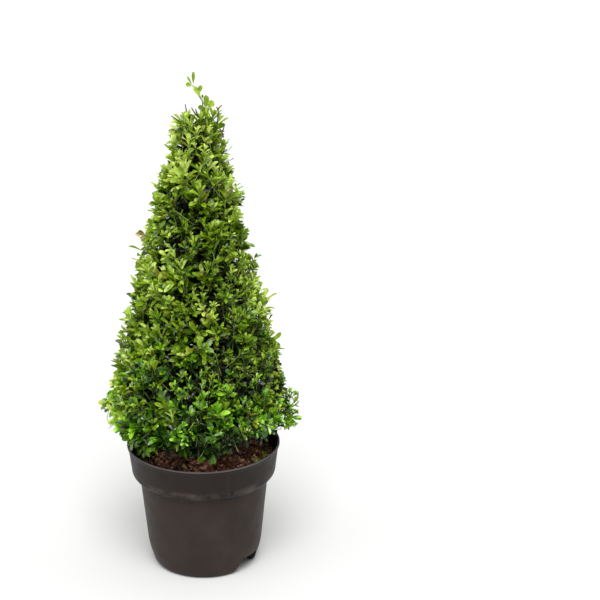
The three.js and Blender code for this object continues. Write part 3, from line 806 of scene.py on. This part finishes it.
def planOuter(roomList, clumps, rng):
    # tip, direction, length, vigour and tone of one tier's outer sprigs, and the clump each belongs to
    angle, z, own, toSeam = spotsOn(roomList, outer["spacing"], clumps, rng, False)
    place, out, count = facePoint(angle, z), outward(angle, z), len(z)
    fan = (place - clumps["place"][own]) / growth["clumpSpacing"] * outer["fan"]
    ahead = unit(out * outer["out"] + liftAt(z) + fan + outer["wander"] * rng.normal(size=(count, 3)))
    leftShare = 0.5 - 0.5 * np.cos(angle)
    standOut = (clumps["standOut"][own] - growth["clumpDome"] * toSeam ** 2
                - outer["leftDepth"] * leftShare ** 3 + rng.normal(0, outer["depthSpread"], count))
    for side, height, depth, reach in shearedSides:
        standOut -= depth * np.exp(-((z - height) / reach) ** 2) * np.clip(side * np.cos(angle), 0, 1) ** 2
    tip = place + out * standOut[:, None]
    toSide = np.cos(angle) ** 2
    # painted light on the left and the left and right edges, painted shade toward the seams
    tone = (outerTone["face"] + grade(z, outerTone["height"]) + grade(z, outerTone["top"])
            + outerTone["left"] * leftShare + outerTone["sides"] * toSide + outerTone["seamShade"] * toSeam ** 2)
    # painted shade under the hem's right
    underHem = outerTone["hemHeight"] - outerTone["hemFront"] * tip[:, 1] - tip[:, 2]
    tone += grade(tip[:, 0], outerTone["hemShade"]) * grade(underHem, (1, 0, outerTone["hemReach"]))
    longest = np.hypot(place[:, 0], place[:, 1]) * outer["lengthShare"] + outer["lengthMore"]
    length = np.minimum(rng.uniform(*outer["length"], count), longest)
    vigour = (outer["vigour"] + clumps["vigour"][own] + rng.normal(0, outer["vigourSpread"], count)
              + outer["vigourRight"] * (1 - leftShare) ** 3 + grade(z, outer["vigourTop"]))
    vigour = np.clip(vigour, outer["weakest"], outer["strongest"])
    tone = tone + clumps["tone"][own] + rng.normal(0, outerTone["spread"], count)
    greenShare = outer["green"] - (z - outer["greenStart"]) / outer["greenReach"]
    greenShare = np.clip(greenShare, 0, outer["greenMost"]) * (1 - outer["greenSides"] * toSide)
    return {"tip": tip, "ahead": ahead, "own": own, "length": length, "vigour": vigour, "tone": tone,
            "green": rng.random(count) < greenShare, "shaded": False}


def planNamed(sprigs, tone, green, clumps, rng):
    # single sprigs listed one by one: the ragged top, those that hang below the hem, and the fringe on the
    # left
    tip, lean = (np.array(part, float) for part in zip(*sprigs))
    count = len(tip)
    return {"tip": tip, "ahead": unit(lean), "own": np.argmin(gapsTo(tip, clumps), axis=1),
            "length": rng.uniform(*named["length"], count), "vigour": rng.uniform(*named["vigour"], count),
            "tone": rng.normal(tone, named["toneSpread"], count), "green": np.full(count, green),
            "shaded": False}


def tintOf(plan, number, rng):
    # the finish of one leaf of every sprig, and which of them have dried
    tone = plan["tone"] + leafMix["older"] * number + rng.normal(0, leafMix["spread"], len(plan["tone"]))
    finish = np.clip(np.floor(tone), 0, tintIndex["leafOldShade"]).astype(int)
    pale = (finish < tintIndex["leafShade"]) & (rng.random(len(tone)) < leafMix["pale"])
    finish = np.where(plan["green"], greenerTint[finish], finish)
    finish = np.where(pale, tintIndex["leafPale"], finish)
    dry = rng.random(len(tone)) < leafMix["dry"]
    finish = np.where(dry, tintIndex["leafDry"], finish)
    olive = (finish < tintIndex["leafShade"]) & (rng.random(len(tone)) < leafMix["olive"])
    return np.where(olive, tintIndex["leafOlive"], finish), dry


def growSprigs(plan, clumps, rng):
    # the twigs and leaves of the planned sprigs, joined to their clumps' branchlets
    tip, ahead, length, vigour = plan["tip"], plan["ahead"], plan["length"], plan["vigour"]
    count = len(tip)
    foot = tip - unit(ahead + growth["footWander"] * rng.normal(size=(count, 3))) * length[:, None]
    foot[:, 2] = np.maximum(foot[:, 2], np.minimum(growth["lowestFoot"], tip[:, 2]))
    half = (foot + tip) / 2 + (tip - foot - ahead * length[:, None]) * growth["bow"]
    bark = 0 if plan["shaded"] else 1
    sprig = taperedTubes(bend(foot, half, tip, 4), growth["sprigRadius"], 1.0, 0.5, 3, bark)
    joint = clumps["branchlet"][plan["own"], rng.integers(3, 6, count)]  # on its outer half
    reach = np.linalg.norm(foot - joint, axis=-1, keepdims=True)
    link = bend(joint, foot - unit(half - foot) * reach * growth["linkCurve"], foot, 3)
    twigs = [sprig, taperedTubes(link, growth["twigRadius"], 1.1, 0.62, 3, 2)]
    leaves = []
    guide = np.where(np.abs(ahead[:, 2:]) > 0.9, [[1.0, 0.0, 0.0]], [[0.0, 0.0, 1.0]])
    side = unit(np.cross(guide, ahead))
    other = np.cross(ahead, side)
    turn = rng.uniform(0, math.pi, count)
    for number in range(len(pairs["back"])):
        back = pairs["back"][number] * (pairs["closer"] + pairs["byVigour"] * vigour)
        share = np.clip(1 - back / length, 0.02, 1)[:, None]
        place = (1 - share) ** 2 * foot + 2 * share * (1 - share) * half + share ** 2 * tip
        axis = unit((1 - share) * (half - foot) + share * (tip - half))
        quarter = turn + number * math.pi / 2
        pairSide = unit(side * np.cos(quarter)[:, None] + other * np.sin(quarter)[:, None])
        spread = np.radians(pairs["spread"][number] + rng.normal(0, pairs["uneven"], count))
        for sign in (1, -1):
            here = (rng.random(count) < pairs["present"][number]) & (back < length * 0.98)
            ownSpread = (spread + np.radians(rng.normal(0, pairs["leafUneven"], count)))[:, None]
            direction = unit(np.cos(ownSpread) * axis + sign * np.sin(ownSpread) * pairSide
                             + leafShape["scatter"] * rng.normal(size=(count, 3)))
            upper = (np.sin(ownSpread) * axis - sign * np.cos(ownSpread) * pairSide
                     + [0, 0, leafShape["faceUp"]] + leafShape["twist"] * rng.normal(size=(count, 3)))
            leafLength = (leafShape["length"] * pairs["size"][number]
                          * (leafShape["weak"] + leafShape["byVigour"] * vigour)
                          * (1 + rng.normal(0, leafShape["lengthSpread"], count)))
            leafLength = np.clip(leafLength, leafShape["least"], leafShape["most"])
            widthShare = (leafShape["widthShare"] + grade(tip[:, 2], leafShape["lowWidth"])
                          + rng.normal(0, leafShape["widthSpread"], count))
            finish, dry = tintOf(plan, number, rng)
            leafLength = np.where(dry, leafMix["dryLength"] * leafLength, leafLength)
            width = leafLength * np.clip(widthShare, leafShape["narrowest"], leafShape["widest"])
            curl, cup = rng.uniform(*leafShape["curl"], count), rng.uniform(*leafShape["cup"], count)
            leaves.append(leafShapes(
                plainLeaf if plan["shaded"] else fineLeaf, place[here], direction[here], upper[here],
                leafLength[here], width[here], curl[here], cup[here], finish[here]))
    return twigs, leaves


twigFinishes = [twigMaterial("twigBark", (52, 46, 30), (78, 70, 46), (112, 102, 74)),
                twigMaterial("twigGreen", (92, 112, 40), (128, 146, 64), (164, 172, 100)),
                twigMaterial("twigOld", (34, 30, 20), (56, 50, 36), (112, 104, 82))]
roomList = list(rooms())
clumps = planClumps(roomList)
twigShapes = [taperedTubes(clumps["branchlet"], growth["branchletRadius"], 1.2, 0.7, 4)]
for room in roomList:
    twigShapes.append(taperedTubes(np.linspace(*heartOf(room), 5)[None], growth["stemRadius"], 1, 1, 6))
leavesOf = {}
for index, tier in enumerate(tiers):  # every tier grows from a seed of its own
    rng = np.random.default_rng(growth["seed"] + growth["tierSeed"] * (index + 1))
    tierRooms = [room for room in roomList if room["index"] == index]
    leavesOf[tier["name"]] = []
    plans = [planOuter(tierRooms, clumps, rng), planInner(tierRooms, clumps, rng)]
    if tier["name"] == "skirt":
        plans += [planHeart(clumps, rng), planNamed(hanging, 1.2, True, clumps, rng)]  # tone and green
    if tier["name"] == "tip":
        plans.append(planNamed(peaks, 0.5, False, clumps, rng))
    grown = [growSprigs(plan, clumps, rng) for plan in plans]
    if tier["name"] == "skirt":
        fringeRng = np.random.default_rng(growth["fringeSeed"])
        grown.append(growSprigs(planNamed(leftFringe, 1.0, True, clumps, fringeRng), clumps, fringeRng))
    for newTwigs, newLeaves in grown:
        twigShapes += newTwigs
        leavesOf[tier["name"]] += newLeaves


# The shoot that has outgrown the tip, and the bare twig ends that the shears left round it

shoot = {
    "route": [(6, 0, 806), (14, -3, 846), (14.6, -3, 867), (3.4, -3, 886), (-4, -3, 899), (-7.7, -3, 905)],
    "radius": 1.3,
    "leaves": [  # root, tip, width, tint
        ((-6.5, -3, 906), (-5.8, -5, 929), 6, "leafGrass"),
        ((-8.5, -3, 905), (-16.6, -1, 920), 4, "leafGrass"),
        ((-8.8, -4, 904), (-19.4, -7, 908), 8, "leafGrass"),
        ((6.4, -4, 884), (-5.6, -6, 903), 9, "leafFresh"),
        ((3.5, -3, 890), (6.2, -5, 905), 8, "leafGrass"),
        ((9.5, -3, 881), (8.6, -8, 889), 4, "leafMid"),
        ((16.5, -4, 866), (14.6, -7, 888), 10, "leafGrass"),
        ((18, -4, 865), (27, -8, 878), 13, "leafFresh"),
        ((14, -4, 864), (19, -10, 847), 9, "leafGrass"),
        ((15, -3, 862), (1, -9, 868), 9, "leafMid"),
    ],
}
driedTip = [  # one dried, curled leaf and a bud on the left: root, tip, width, tint
    ((-97, -10, 638), (-113, -12, 641), 7, "leafDry"), ((-96, -11, 640), (-108, -9, 645), 6, "leafOlive"),
    ((-95, -12, 637), (-104, -14, 633), 5, "leafDry"),
]
bareTwigs = [  # foot, middle and tip
    ((-78, -8, 624), (-89, -9, 633), (-99, -10, 639)),
    ((31, -7, 826), (36.5, -8, 850), (35.4, -8, 862)), ((35.4, -8, 861), (36, -8, 866), (42.4, -8, 870)),
    ((35.4, -8, 861), (35, -8, 865), (32.4, -8, 867)), ((44, -6, 812), (43, -7, 822), (36.5, -8, 830)),
    ((42, -6, 822), (44, -7, 826), (45.5, -8, 831)), ((2, -6, 848), (-6, -8, 857), (-10.3, -9, 867)),
    ((0, -6, 852), (-1, -7, 858), (-3.6, -8, 864)), ((-30, -6, 838), (-35, -8, 847), (-46, -8, 852)),
    ((6, 12, 846), (10, 16, 860), (9, 19, 872)), ((-14, 16, 838), (-20, 22, 852), (-21, 26, 864)),
]


def smoothLine(route, steps, rounds=3):
    knots, fine = np.linspace(0, 1, len(route)), np.linspace(0, 1, steps)
    line = np.stack([np.interp(fine, knots, np.array(route, float)[:, axis]) for axis in range(3)], -1)
    for _ in range(rounds):
        line[1:-1] = (line[:-2] + 2 * line[1:-1] + line[2:]) / 4
    return line


def addSingleLeaves(tierName, singles, cup):
    for root, tip, width, tint in singles:
        way = np.array(tip, float) - np.array(root, float)
        leavesOf[tierName].append(oneLeaf(root, way, [0.25, -1.0, 0.35], tintIndex[tint],
                                          np.linalg.norm(way, axis=-1), width, 0.04, cup))


twigShapes.append(taperedTubes(smoothLine(shoot["route"], 31)[None], shoot["radius"], 1.5, 0.8, 6, 1))
addSingleLeaves("tip", shoot["leaves"], 0.3)
addSingleLeaves("upper", driedTip, 1.1)
feet, middles, ends = (np.array(points, float) for points in zip(*bareTwigs))
twigShapes.append(taperedTubes(bend(feet, middles, ends, 6), 1, 1.5, 0.9, 4))
print("growth worked out")

for tier in tiers:
    names = [f"foliage_{tier['name']}_{sector + 1}" for sector in range(tier["masses"])]
    makePiece("leaves" + tier["name"].capitalize(), leavesOf[tier["name"]], leafFinishes,
              names if tier["masses"] > 1 else ["foliage_" + tier["name"]], smooth=False)
makePiece("twigs", twigShapes, twigFinishes)


# The pot: a turned shell with drainage channels cut under its base

potShape = {
    "height": 236, "rimRadius": 140, "lipWidth": 3.4, "lipFall": 4.6, "lipInside": 5, "bandTopRadius": 138.6,
    "lipFoot": 9, "lipUndercut": 1.2,
    "bandFootRadius": 132.2, "bandFootHeight": 186, "ledgeHeight": 172, "wallTopRadius": 118,
    "wallFootRadius": 104, "wallFootHeight": 36, "cornerRadius": 95, "cornerHeight": 8, "soleRadius": 88,
    "wall": 2.4, "floor": 3.2, "turns": 144, "crease": 34,
    "axis": 0.01,  # the radius that closes a profile at the axis
    "channelAngles": (-36, 144), "channelWidth": 76, "channelTaper": 15, "channelHeight": 30,
    "channelReach": 46, "channelOutside": 150, "channelBelow": 12,
    "drainAngles": (26, 86, 206, 266), "drainRadius": 7, "drainCircle": 58,
}
boxFaces = np.array([
    (0, 1, 3, 2), (4, 6, 7, 5), (0, 4, 5, 1), (2, 3, 7, 6), (0, 2, 6, 4), (1, 5, 7, 3)]).ravel()


def softened(profile, radius, steps=4):
    # rounds every inner corner of a profile with a short curve
    soft = [profile[0]]
    for before, corner, after in zip(profile, profile[1:], profile[2:]):
        before, corner, after = (np.array(point, float) for point in (before, corner, after))
        cut = min(radius, 0.45 * np.linalg.norm(before - corner), 0.45 * np.linalg.norm(after - corner))
        first, last = corner + unit(before - corner) * cut, corner + unit(after - corner) * cut
        for step in range(steps + 1):
            along = step / steps
            soft.append(tuple((1 - along) ** 2 * first + 2 * along * (1 - along) * corner
                              + along ** 2 * last))
    soft.append(profile[-1])
    return soft


def bandCurve(inset, steps=10):
    # the ledge under the band, a quarter of a turn from the wall out to the band's foot
    p = potShape
    wide, tall = p["bandFootRadius"] - p["wallTopRadius"], p["bandFootHeight"] - p["ledgeHeight"]
    curve = []
    for step in range(steps + 1):
        angle = step / steps * math.pi / 2
        curve.append((p["wallTopRadius"] + wide * math.sin(angle) - inset,
                      p["bandFootHeight"] - tall * math.cos(angle) + inset * 0.4))
    return curve


def turnedShape(profile, turns, closed):
    profile = np.array(profile, float)
    angle = fullTurn(turns)
    points = np.stack([profile[:, None, 0] * np.cos(angle), profile[:, None, 0] * np.sin(angle),
                       np.repeat(profile[:, 1:], turns, axis=1)], -1).reshape(-1, 3)
    quads = ringQuads(len(profile), turns, closed)
    return points, quads.ravel(), np.arange(len(quads)) * 4


def plainObject(name, shape):
    points, corners, starts = shape
    mesh = bpy.data.meshes.new(name)
    faces = np.split(corners, starts[1:])
    mesh.from_pydata((points * 0.001).tolist(), [], [face.tolist() for face in faces])
    mesh.update()
    tidy = bmesh.new()
    tidy.from_mesh(mesh)
    bmesh.ops.remove_doubles(tidy, verts=tidy.verts, dist=1e-6)
    bmesh.ops.recalc_face_normals(tidy, faces=tidy.faces)
    tidy.to_mesh(mesh)
    tidy.free()
    return placeObject(name, mesh)


def channelShape(degrees, extra):
    # a drainage channel from the foot inward, or with extra the block round it
    p = potShape
    corners = []
    for x in (p["channelReach"] - extra, p["channelOutside"]):
        for top in (0, 1):
            half = p["channelWidth"] / 2 + extra - (p["channelTaper"] if top else 0)
            z = p["channelHeight"] + extra if top else -p["channelBelow"]
            corners += [(x, -half, z), (x, half, z)]
    turn = math.radians(degrees)
    points = np.array([(x * math.cos(turn) - y * math.sin(turn), x * math.sin(turn) + y * math.cos(turn), z)
                       for x, y, z in corners])
    return points, boxFaces, np.arange(6) * 4


def drainPlug(degrees):
    # a round plug through the floor, on the circle of drain holes
    p = potShape
    low, high = -8, 12
    plug = plainObject("drain", turnedShape([
        (p["axis"], low), (p["drainRadius"], low), (p["drainRadius"], high), (p["axis"], high)], 24, True))
    turn, circle = math.radians(degrees), p["drainCircle"]
    shift = (circle * math.cos(turn) / 1000, circle * math.sin(turn) / 1000, 0)
    plug.data.transform(Matrix.Translation(shift))
    return plug


def combine(target, tool, how):
    cut = target.modifiers.new(how, "BOOLEAN")
    cut.operation = how
    cut.solver = "EXACT"
    cut.object = tool
    fixed = bpy.data.meshes.new_from_object(target.evaluated_get(bpy.context.evaluated_depsgraph_get()))
    target.modifiers.remove(cut)
    target.data = fixed
    bpy.data.objects.remove(tool)


def makePot():
    p = potShape
    lipRadius = p["rimRadius"] - p["lipWidth"]
    foot = softened([
        (p["axis"], 0), (p["soleRadius"], 0), (p["cornerRadius"], p["cornerHeight"]),
        (p["wallFootRadius"], p["wallFootHeight"]),
        (p["wallTopRadius"], p["ledgeHeight"])], radius=14, steps=7)[:-1]
    rim = softened([
        (p["bandFootRadius"], p["bandFootHeight"]),
        (p["bandTopRadius"] - p["lipUndercut"], p["height"] - p["lipFoot"]),
        (p["rimRadius"], p["height"] - p["lipFall"]), (p["rimRadius"], p["height"]),
        (lipRadius, p["height"]), (lipRadius, p["height"] - p["lipInside"])], radius=1.5)[1:]
    inside = bandCurve(p["wall"])[::-1] + softened([
        (p["wallTopRadius"] - p["wall"], p["ledgeHeight"]),
        (p["wallFootRadius"] - p["wall"], p["wallFootHeight"]),
        (p["cornerRadius"] - p["wall"], p["cornerHeight"] + 2),
        (p["soleRadius"] - p["wall"], p["floor"]), (p["axis"], p["floor"])], radius=8)[1:]
    outside = foot + bandCurve(0) + rim
    pot = plainObject("potShell", turnedShape(outside + inside, p["turns"], True))
    for degrees in p["channelAngles"]:
        filled = outside[:-6] + [(p["axis"], p["height"])]
        roof = plainObject("channelRoof", channelShape(degrees, p["wall"]))
        combine(roof, plainObject("potFilled", turnedShape(filled, p["turns"], True)), "INTERSECT")
        combine(pot, roof, "UNION")
        combine(pot, plainObject("channel", channelShape(degrees, 0)), "DIFFERENCE")
    for degrees in p["drainAngles"]:
        combine(pot, drainPlug(degrees), "DIFFERENCE")
    pot.data.shade_smooth()
    pot.data.set_sharp_from_angle(angle=math.radians(p["crease"]))
    pot.data.materials.clear()
    pot.data.materials.append(potMaterial())
    return settle(pot, ["pot"])


# Zones of the pot's colour: painted shade on the band and the ledge, dust on the ledge, and a painted
# highlight with some dust along the lip
potLook = {  # low and high edge in metres, and how far each fades
    "ledgeShadeAndDust": (0.171, 0.186, 0.007), "lipHighlightAndDust": (0.2345, 0.2375, 0.0012), "band": (0.180, 0.232, 0.008),
}


def potMaterial():
    # taupe-grey moulded plastic, with chalky dust along the band's foot and rubbed marks on the wall
    # painted shade on the band and the ledge, and a painted highlight with some dust along the lip
    material, tree, shader = newMaterial("potPlastic")
    colour = tintsOf(tree, noiseAt(tree, scale=14, detail=4), (0.3, 0.55, 0.75),
                     [(38, 30, 26), (44, 35, 31), (51, 42, 38)])
    ledgeShadeAndDust, lipHighlightAndDust, band = (heightMask(tree, *potLook[zone]) for zone in ("ledgeShadeAndDust", "lipHighlightAndDust", "band"))
    patches = greysOf(tree, noiseAt(tree, scale=26, detail=5, roughness=0.65), (0.42, 0), (0.62, 1))
    streaks = greysOf(tree, noiseAt(tree, scale=55, detail=5, roughness=0.7, stretch=(1, 1, 0.10)),
                      (0.58, 0), (0.8, 1))
    specks = greysOf(tree, noiseAt(tree, scale=420, detail=2), (0.62, 0), (0.72, 1))
    shadeHighlightAndMarks = [  # where, how strong, colour
        # painted shade: the band darkened under the foliage's overhang, the ledge darkened in the crease
        # below the band
        (band, 0.46, (10, 8, 7)), (ledgeShadeAndDust, 0.5, (12, 9, 8)),
        # dust on the ledge, then a painted highlight with some dust along the lip
        (multiply(tree, ledgeShadeAndDust, patches), 0.22, (120, 108, 100)), (lipHighlightAndDust, 0.34, (128, 122, 122)),
        (streaks, 0.10, (96, 86, 80)), (specks, 0.10, (90, 82, 78)),
    ]
    for where, strength, tone in shadeHighlightAndMarks:
        colour = mixColour(tree, multiply(tree, where, strength), colour, linear(*tone))
    rough = greysOf(tree, noiseAt(tree, scale=40, detail=4), (0.3, 0.46), (0.7, 0.58))
    dress(tree, shader, colour, rough, specular=0.16)
    bumpFrom(tree, noiseAt(tree, scale=900, detail=3), shader, strength=0.12, distance=0.0006)
    return material


makePot()
print("pot made")


# Compost: a crumbly bed, bark chips, pale grit, moss at the edge, a seedling and fallen leaves

bed = {
    "level": 211, "edge": (-3, 96, 30),  # change of height, where it starts and how far on it is complete
    "turns": 150, "rings": 62, "seed": 11, "crumbs": 0.9, "gap": 0.4,  # to the pot's wall
    "mounds": [  # x, y, reach, rise, and the kind of chips that most of it is made of
        (-66, -28, 31, 10, 2), (-4, -63, 26, 9, 2), (52, -46, 30, 6, 1), (96, -8, 24, 4, 1),
        (20, 30, 40, 4, 1)],
}
chips = {
    "count": 4200, "reach": 124, "seed": 19, "length": (2.2, 1.7), "least": 2, "width": (0.3, 0.75),
    "thickness": (0.7, 2.6), "tilt": 0.45, "lift": 0.6, "liftSpread": 1.2, "jitter": 0.28,
    "shares": [0.78, 0.17, 0.05],  # of the dark, red and pale ones
    "mound": 0.8, "moundShare": 0.6,  # how much of a mound has its own kind, and of how many chips there
}
grit = {"count": 90, "size": (1.2, 2.8), "lift": 1.8}
moss = {
    "tufts": [  # x, y, blades, share of light ones
        (97, -43, 260, 0.85), (113, -20, 220, 0.85), (103, -22, 80, 0.1), (84, -48, 60, 0.1),
        (119, 14, 50, 0.1), (-40, 96, 150, 0.4), (-96, 30, 150, 0.4)],
    "reach": 3.8, "blade": (2.6, 5.4), "width": 0.3, "lean": 0.5, "curl": 0.2, "cup": 0.3,
}
seedling = {
    "place": (-37, -66),
    "leaves": [((0.15, -0.1, 1), 8.5), ((0.8, -0.2, 0.9), 5.5), ((-0.7, 0.2, 1), 5.0)],  # way and length
    "width": 0.5, "curl": 0.05, "cup": 0.3,
}
fallen = {
    "count": 46, "reach": 118, "lift": 2.4, "size": (9, 15), "width": 0.42, "curl": (0.05, 0.3),
    "cup": (-0.4, 0.4),
    "shares": [0.45, 0.35, 0.2],  # of the brown, yellow and green ones
    "driedPlace": (15, -46), "driedWay": (0.66, -0.68, -0.32), "driedLift": 9, "driedSize": 15,
}


def bedHeight(x, y):
    radius = np.hypot(x, y)
    crumbs = (1.6 * np.sin(x * 0.21 + 1.3) * np.cos(y * 0.17) + 1.1 * np.sin(x * 0.47 - y * 0.39)
              + 0.8 * np.sin(x * 0.93 + 2.1 * np.cos(y * 0.31)) * np.cos(y * 0.81))
    height = bed["level"] + crumbs + grade(radius, bed["edge"])
    for moundX, moundY, reach, rise, _ in bed["mounds"]:
        height = height + rise * np.exp(-((x - moundX) ** 2 + (y - moundY) ** 2) / (2 * (reach * 0.5) ** 2))
    return height


def onBed(x, y):
    return np.stack([x, y, bedHeight(x, y)], -1)


def makeBed():
    p = potShape
    rng = np.random.default_rng(bed["seed"])
    turns, rings = bed["turns"], bed["rings"]
    share = (bed["level"] - p["bandFootHeight"]) / (p["height"] - p["bandFootHeight"])
    wall = p["bandFootRadius"] - p["wall"] + (p["bandTopRadius"] - p["bandFootRadius"]) * share
    radii = (wall - bed["gap"]) * np.linspace(0.02, 1, rings) ** 0.8
    angle = fullTurn(turns)
    points = onBed(radii[:, None] * np.cos(angle), radii[:, None] * np.sin(angle))
    points[..., 2] += rng.normal(0, bed["crumbs"], points.shape[:2])
    quads = ringQuads(rings, turns)[:, [0, 3, 2, 1]]
    corners = np.concatenate([quads.ravel(), np.arange(turns)])
    starts = np.arange(len(quads) + 1) * 4
    return points.reshape(-1, 3), corners, starts, np.zeros(len(starts), int)


def boxShapes(place, sizes, spin, finish, rng):
    # many small uneven blocks: sizes is (blocks, 3), spin is (blocks, 3) turns about x, y and z
    count = len(place)
    cube = np.array([(x, y, z) for x in (-1, 1) for y in (-1, 1) for z in (-1, 1)], float)
    uneven = 1 + chips["jitter"] * rng.uniform(-1, 1, (count, 8, 3))
    blocks = cube[None] * uneven * sizes[:, None] / 2
    for axis, (first, second) in enumerate([(1, 2), (0, 2), (0, 1)]):
        cosine, sine = np.cos(spin[:, axis])[:, None], np.sin(spin[:, axis])[:, None]
        turned = blocks.copy()
        turned[..., first] = blocks[..., first] * cosine - blocks[..., second] * sine
        turned[..., second] = blocks[..., first] * sine + blocks[..., second] * cosine
        blocks = turned
    points = (blocks + place[:, None]).reshape(-1, 3)
    return points, repeated(boxFaces, count, 8), np.arange(count * 6) * 4, np.repeat(finish, 6)


def scatterOnBed(count, reach, rng):
    radius, angle = reach * np.sqrt(rng.random(count)), rng.uniform(0, 2 * math.pi, count)
    return onBed(radius * np.cos(angle), radius * np.sin(angle))


def makeCompost():
    rng = np.random.default_rng(chips["seed"])
    finishes = [
        soilMaterial("compost", 190, (44, 25, 18), (102, 64, 48), (168, 116, 92)),
        soilMaterial("barkChipDark", 260, (70, 42, 31), (140, 90, 68), (206, 150, 122)),
        soilMaterial("barkChipRed", 260, (168, 104, 80), (232, 172, 142), (250, 222, 200)),
        soilMaterial("barkChipPale", 320, (190, 150, 124), (236, 206, 184), (250, 238, 226)),
        soilMaterial("grit", 500, (170, 160, 150), (205, 198, 190), (232, 228, 222)),
    ]
    count = chips["count"]
    place = scatterOnBed(count, chips["reach"], rng)
    long = rng.gamma(*chips["length"], count) + chips["least"]
    wide, thick = long * rng.uniform(*chips["width"], count), rng.uniform(*chips["thickness"], count)
    spin = np.stack([rng.normal(0, chips["tilt"], count), rng.normal(0, chips["tilt"], count),
                     rng.uniform(0, 6.28, count)], -1)
    place[:, 2] += chips["lift"] + rng.uniform(0, chips["liftSpread"], count)
    kind = rng.choice([1, 2, 3], count, p=chips["shares"])
    for moundX, moundY, reach, _, own in bed["mounds"]:
        near = np.hypot(place[:, 0] - moundX, place[:, 1] - moundY) < reach * chips["mound"]
        kind = np.where(near & (rng.random(count) < chips["moundShare"]), own, kind)
    gritPlace = scatterOnBed(grit["count"], chips["reach"], rng)
    gritPlace[:, 2] += grit["lift"]
    gritSizes = rng.uniform(*grit["size"], (grit["count"], 3))
    shapes = [makeBed(), boxShapes(place, np.stack([long, wide, thick], -1), spin, kind, rng),
              boxShapes(gritPlace, gritSizes, rng.uniform(0, 6.28, (grit["count"], 3)),
                        np.full(grit["count"], 4), rng)]
    return makePiece("compostBed", shapes, finishes, ["soil"], smooth=False)


def mossShapes(rng):
    for mossX, mossY, count, lightShare in moss["tufts"]:
        x, y = mossX + rng.normal(0, moss["reach"], count), mossY + rng.normal(0, moss["reach"], count)
        leanX, leanY = rng.normal(0, moss["lean"], count), rng.normal(0, moss["lean"], count)
        ahead = unit(np.stack([leanX, leanY, np.ones(count)], -1))
        upper = unit(rng.normal(size=(count, 3)))
        size = rng.uniform(*moss["blade"], count)
        light = (rng.random(count) < lightShare).astype(int)
        yield leafShapes(plainLeaf, onBed(x, y) + [0, 0, 1], ahead, upper, size, size * moss["width"],
                         np.full(count, moss["curl"]), np.full(count, moss["cup"]), light)


def fallenShapes(rng):
    # leaves that lie about, the first of them a large dried one
    count = fallen["count"]
    place = scatterOnBed(count, fallen["reach"], rng)
    place[0] = onBed(*(np.float64(part) for part in fallen["driedPlace"]))
    place[:, 2] += fallen["lift"]
    place[0, 2] += fallen["driedLift"]
    ahead = unit(np.stack([rng.normal(size=count), rng.normal(size=count), rng.normal(0, 0.25, count)], -1))
    ahead[0] = fallen["driedWay"]
    size = rng.uniform(*fallen["size"], count)
    size[0] = fallen["driedSize"]
    upper = unit(np.array([0, 0, 1.0]) + 0.3 * rng.normal(size=(count, 3)))
    curl, cup = rng.uniform(*fallen["curl"], count), rng.uniform(*fallen["cup"], count)
    kind = np.concatenate([[3], rng.choice([2, 3, 4], count - 1, p=fallen["shares"])])
    return leafShapes(fineLeaf, place, ahead, upper, size, size * fallen["width"], curl, cup, kind)


def makeBedGreens():
    # moss tufts, one seedling, fallen leaves
    rng = np.random.default_rng(29)
    shapes = list(mossShapes(rng))
    foot = onBed(*(np.float64(part) for part in seedling["place"]))
    for way, size in seedling["leaves"]:
        shapes.append(oneLeaf(foot, way, [0.2, -1.0, 0.3], 1, size, size * seedling["width"],
                              seedling["curl"], seedling["cup"]))
    shapes.append(fallenShapes(rng))
    finishes = [leafMaterial(name, tone, gloss, glow) for name, tone, gloss, glow in (
        ("mossDark", (84, 92, 30), 0.9, 0.1), ("mossLight", (212, 220, 110), 0.85, 0.15),
        ("fallenBrown", (118, 84, 56), 0.8, 0.05), ("fallenYellow", (190, 164, 92), 0.7, 0.12),
        ("fallenGreen", (74, 92, 38), 0.6, 0.08))]
    return makePiece("bedGreens", shapes, finishes)


makeCompost()
makeBedGreens()
print("compost made")


# White studio floor

def makeFloor():
    mesh = bpy.data.meshes.new("studioFloor")
    reach, tone = studio["floorReach"], studio["floorTone"]
    corners = [(-reach, -reach, 0), (reach, -reach, 0), (reach, reach, 0), (-reach, reach, 0)]
    mesh.from_pydata(corners, [], [(0, 1, 2, 3)])
    material, tree, shader = newMaterial("floorWhite")
    tint = rampOf(tree, noiseAt(tree, scale=3, detail=2), [(0.3, scaled(tone, 0.985)), (0.7, tone)])
    dress(tree, shader, tint, roughness=0.7)
    mesh.materials.append(material)
    placeObject("studioFloor", mesh)


makeFloor()
print("floor laid")
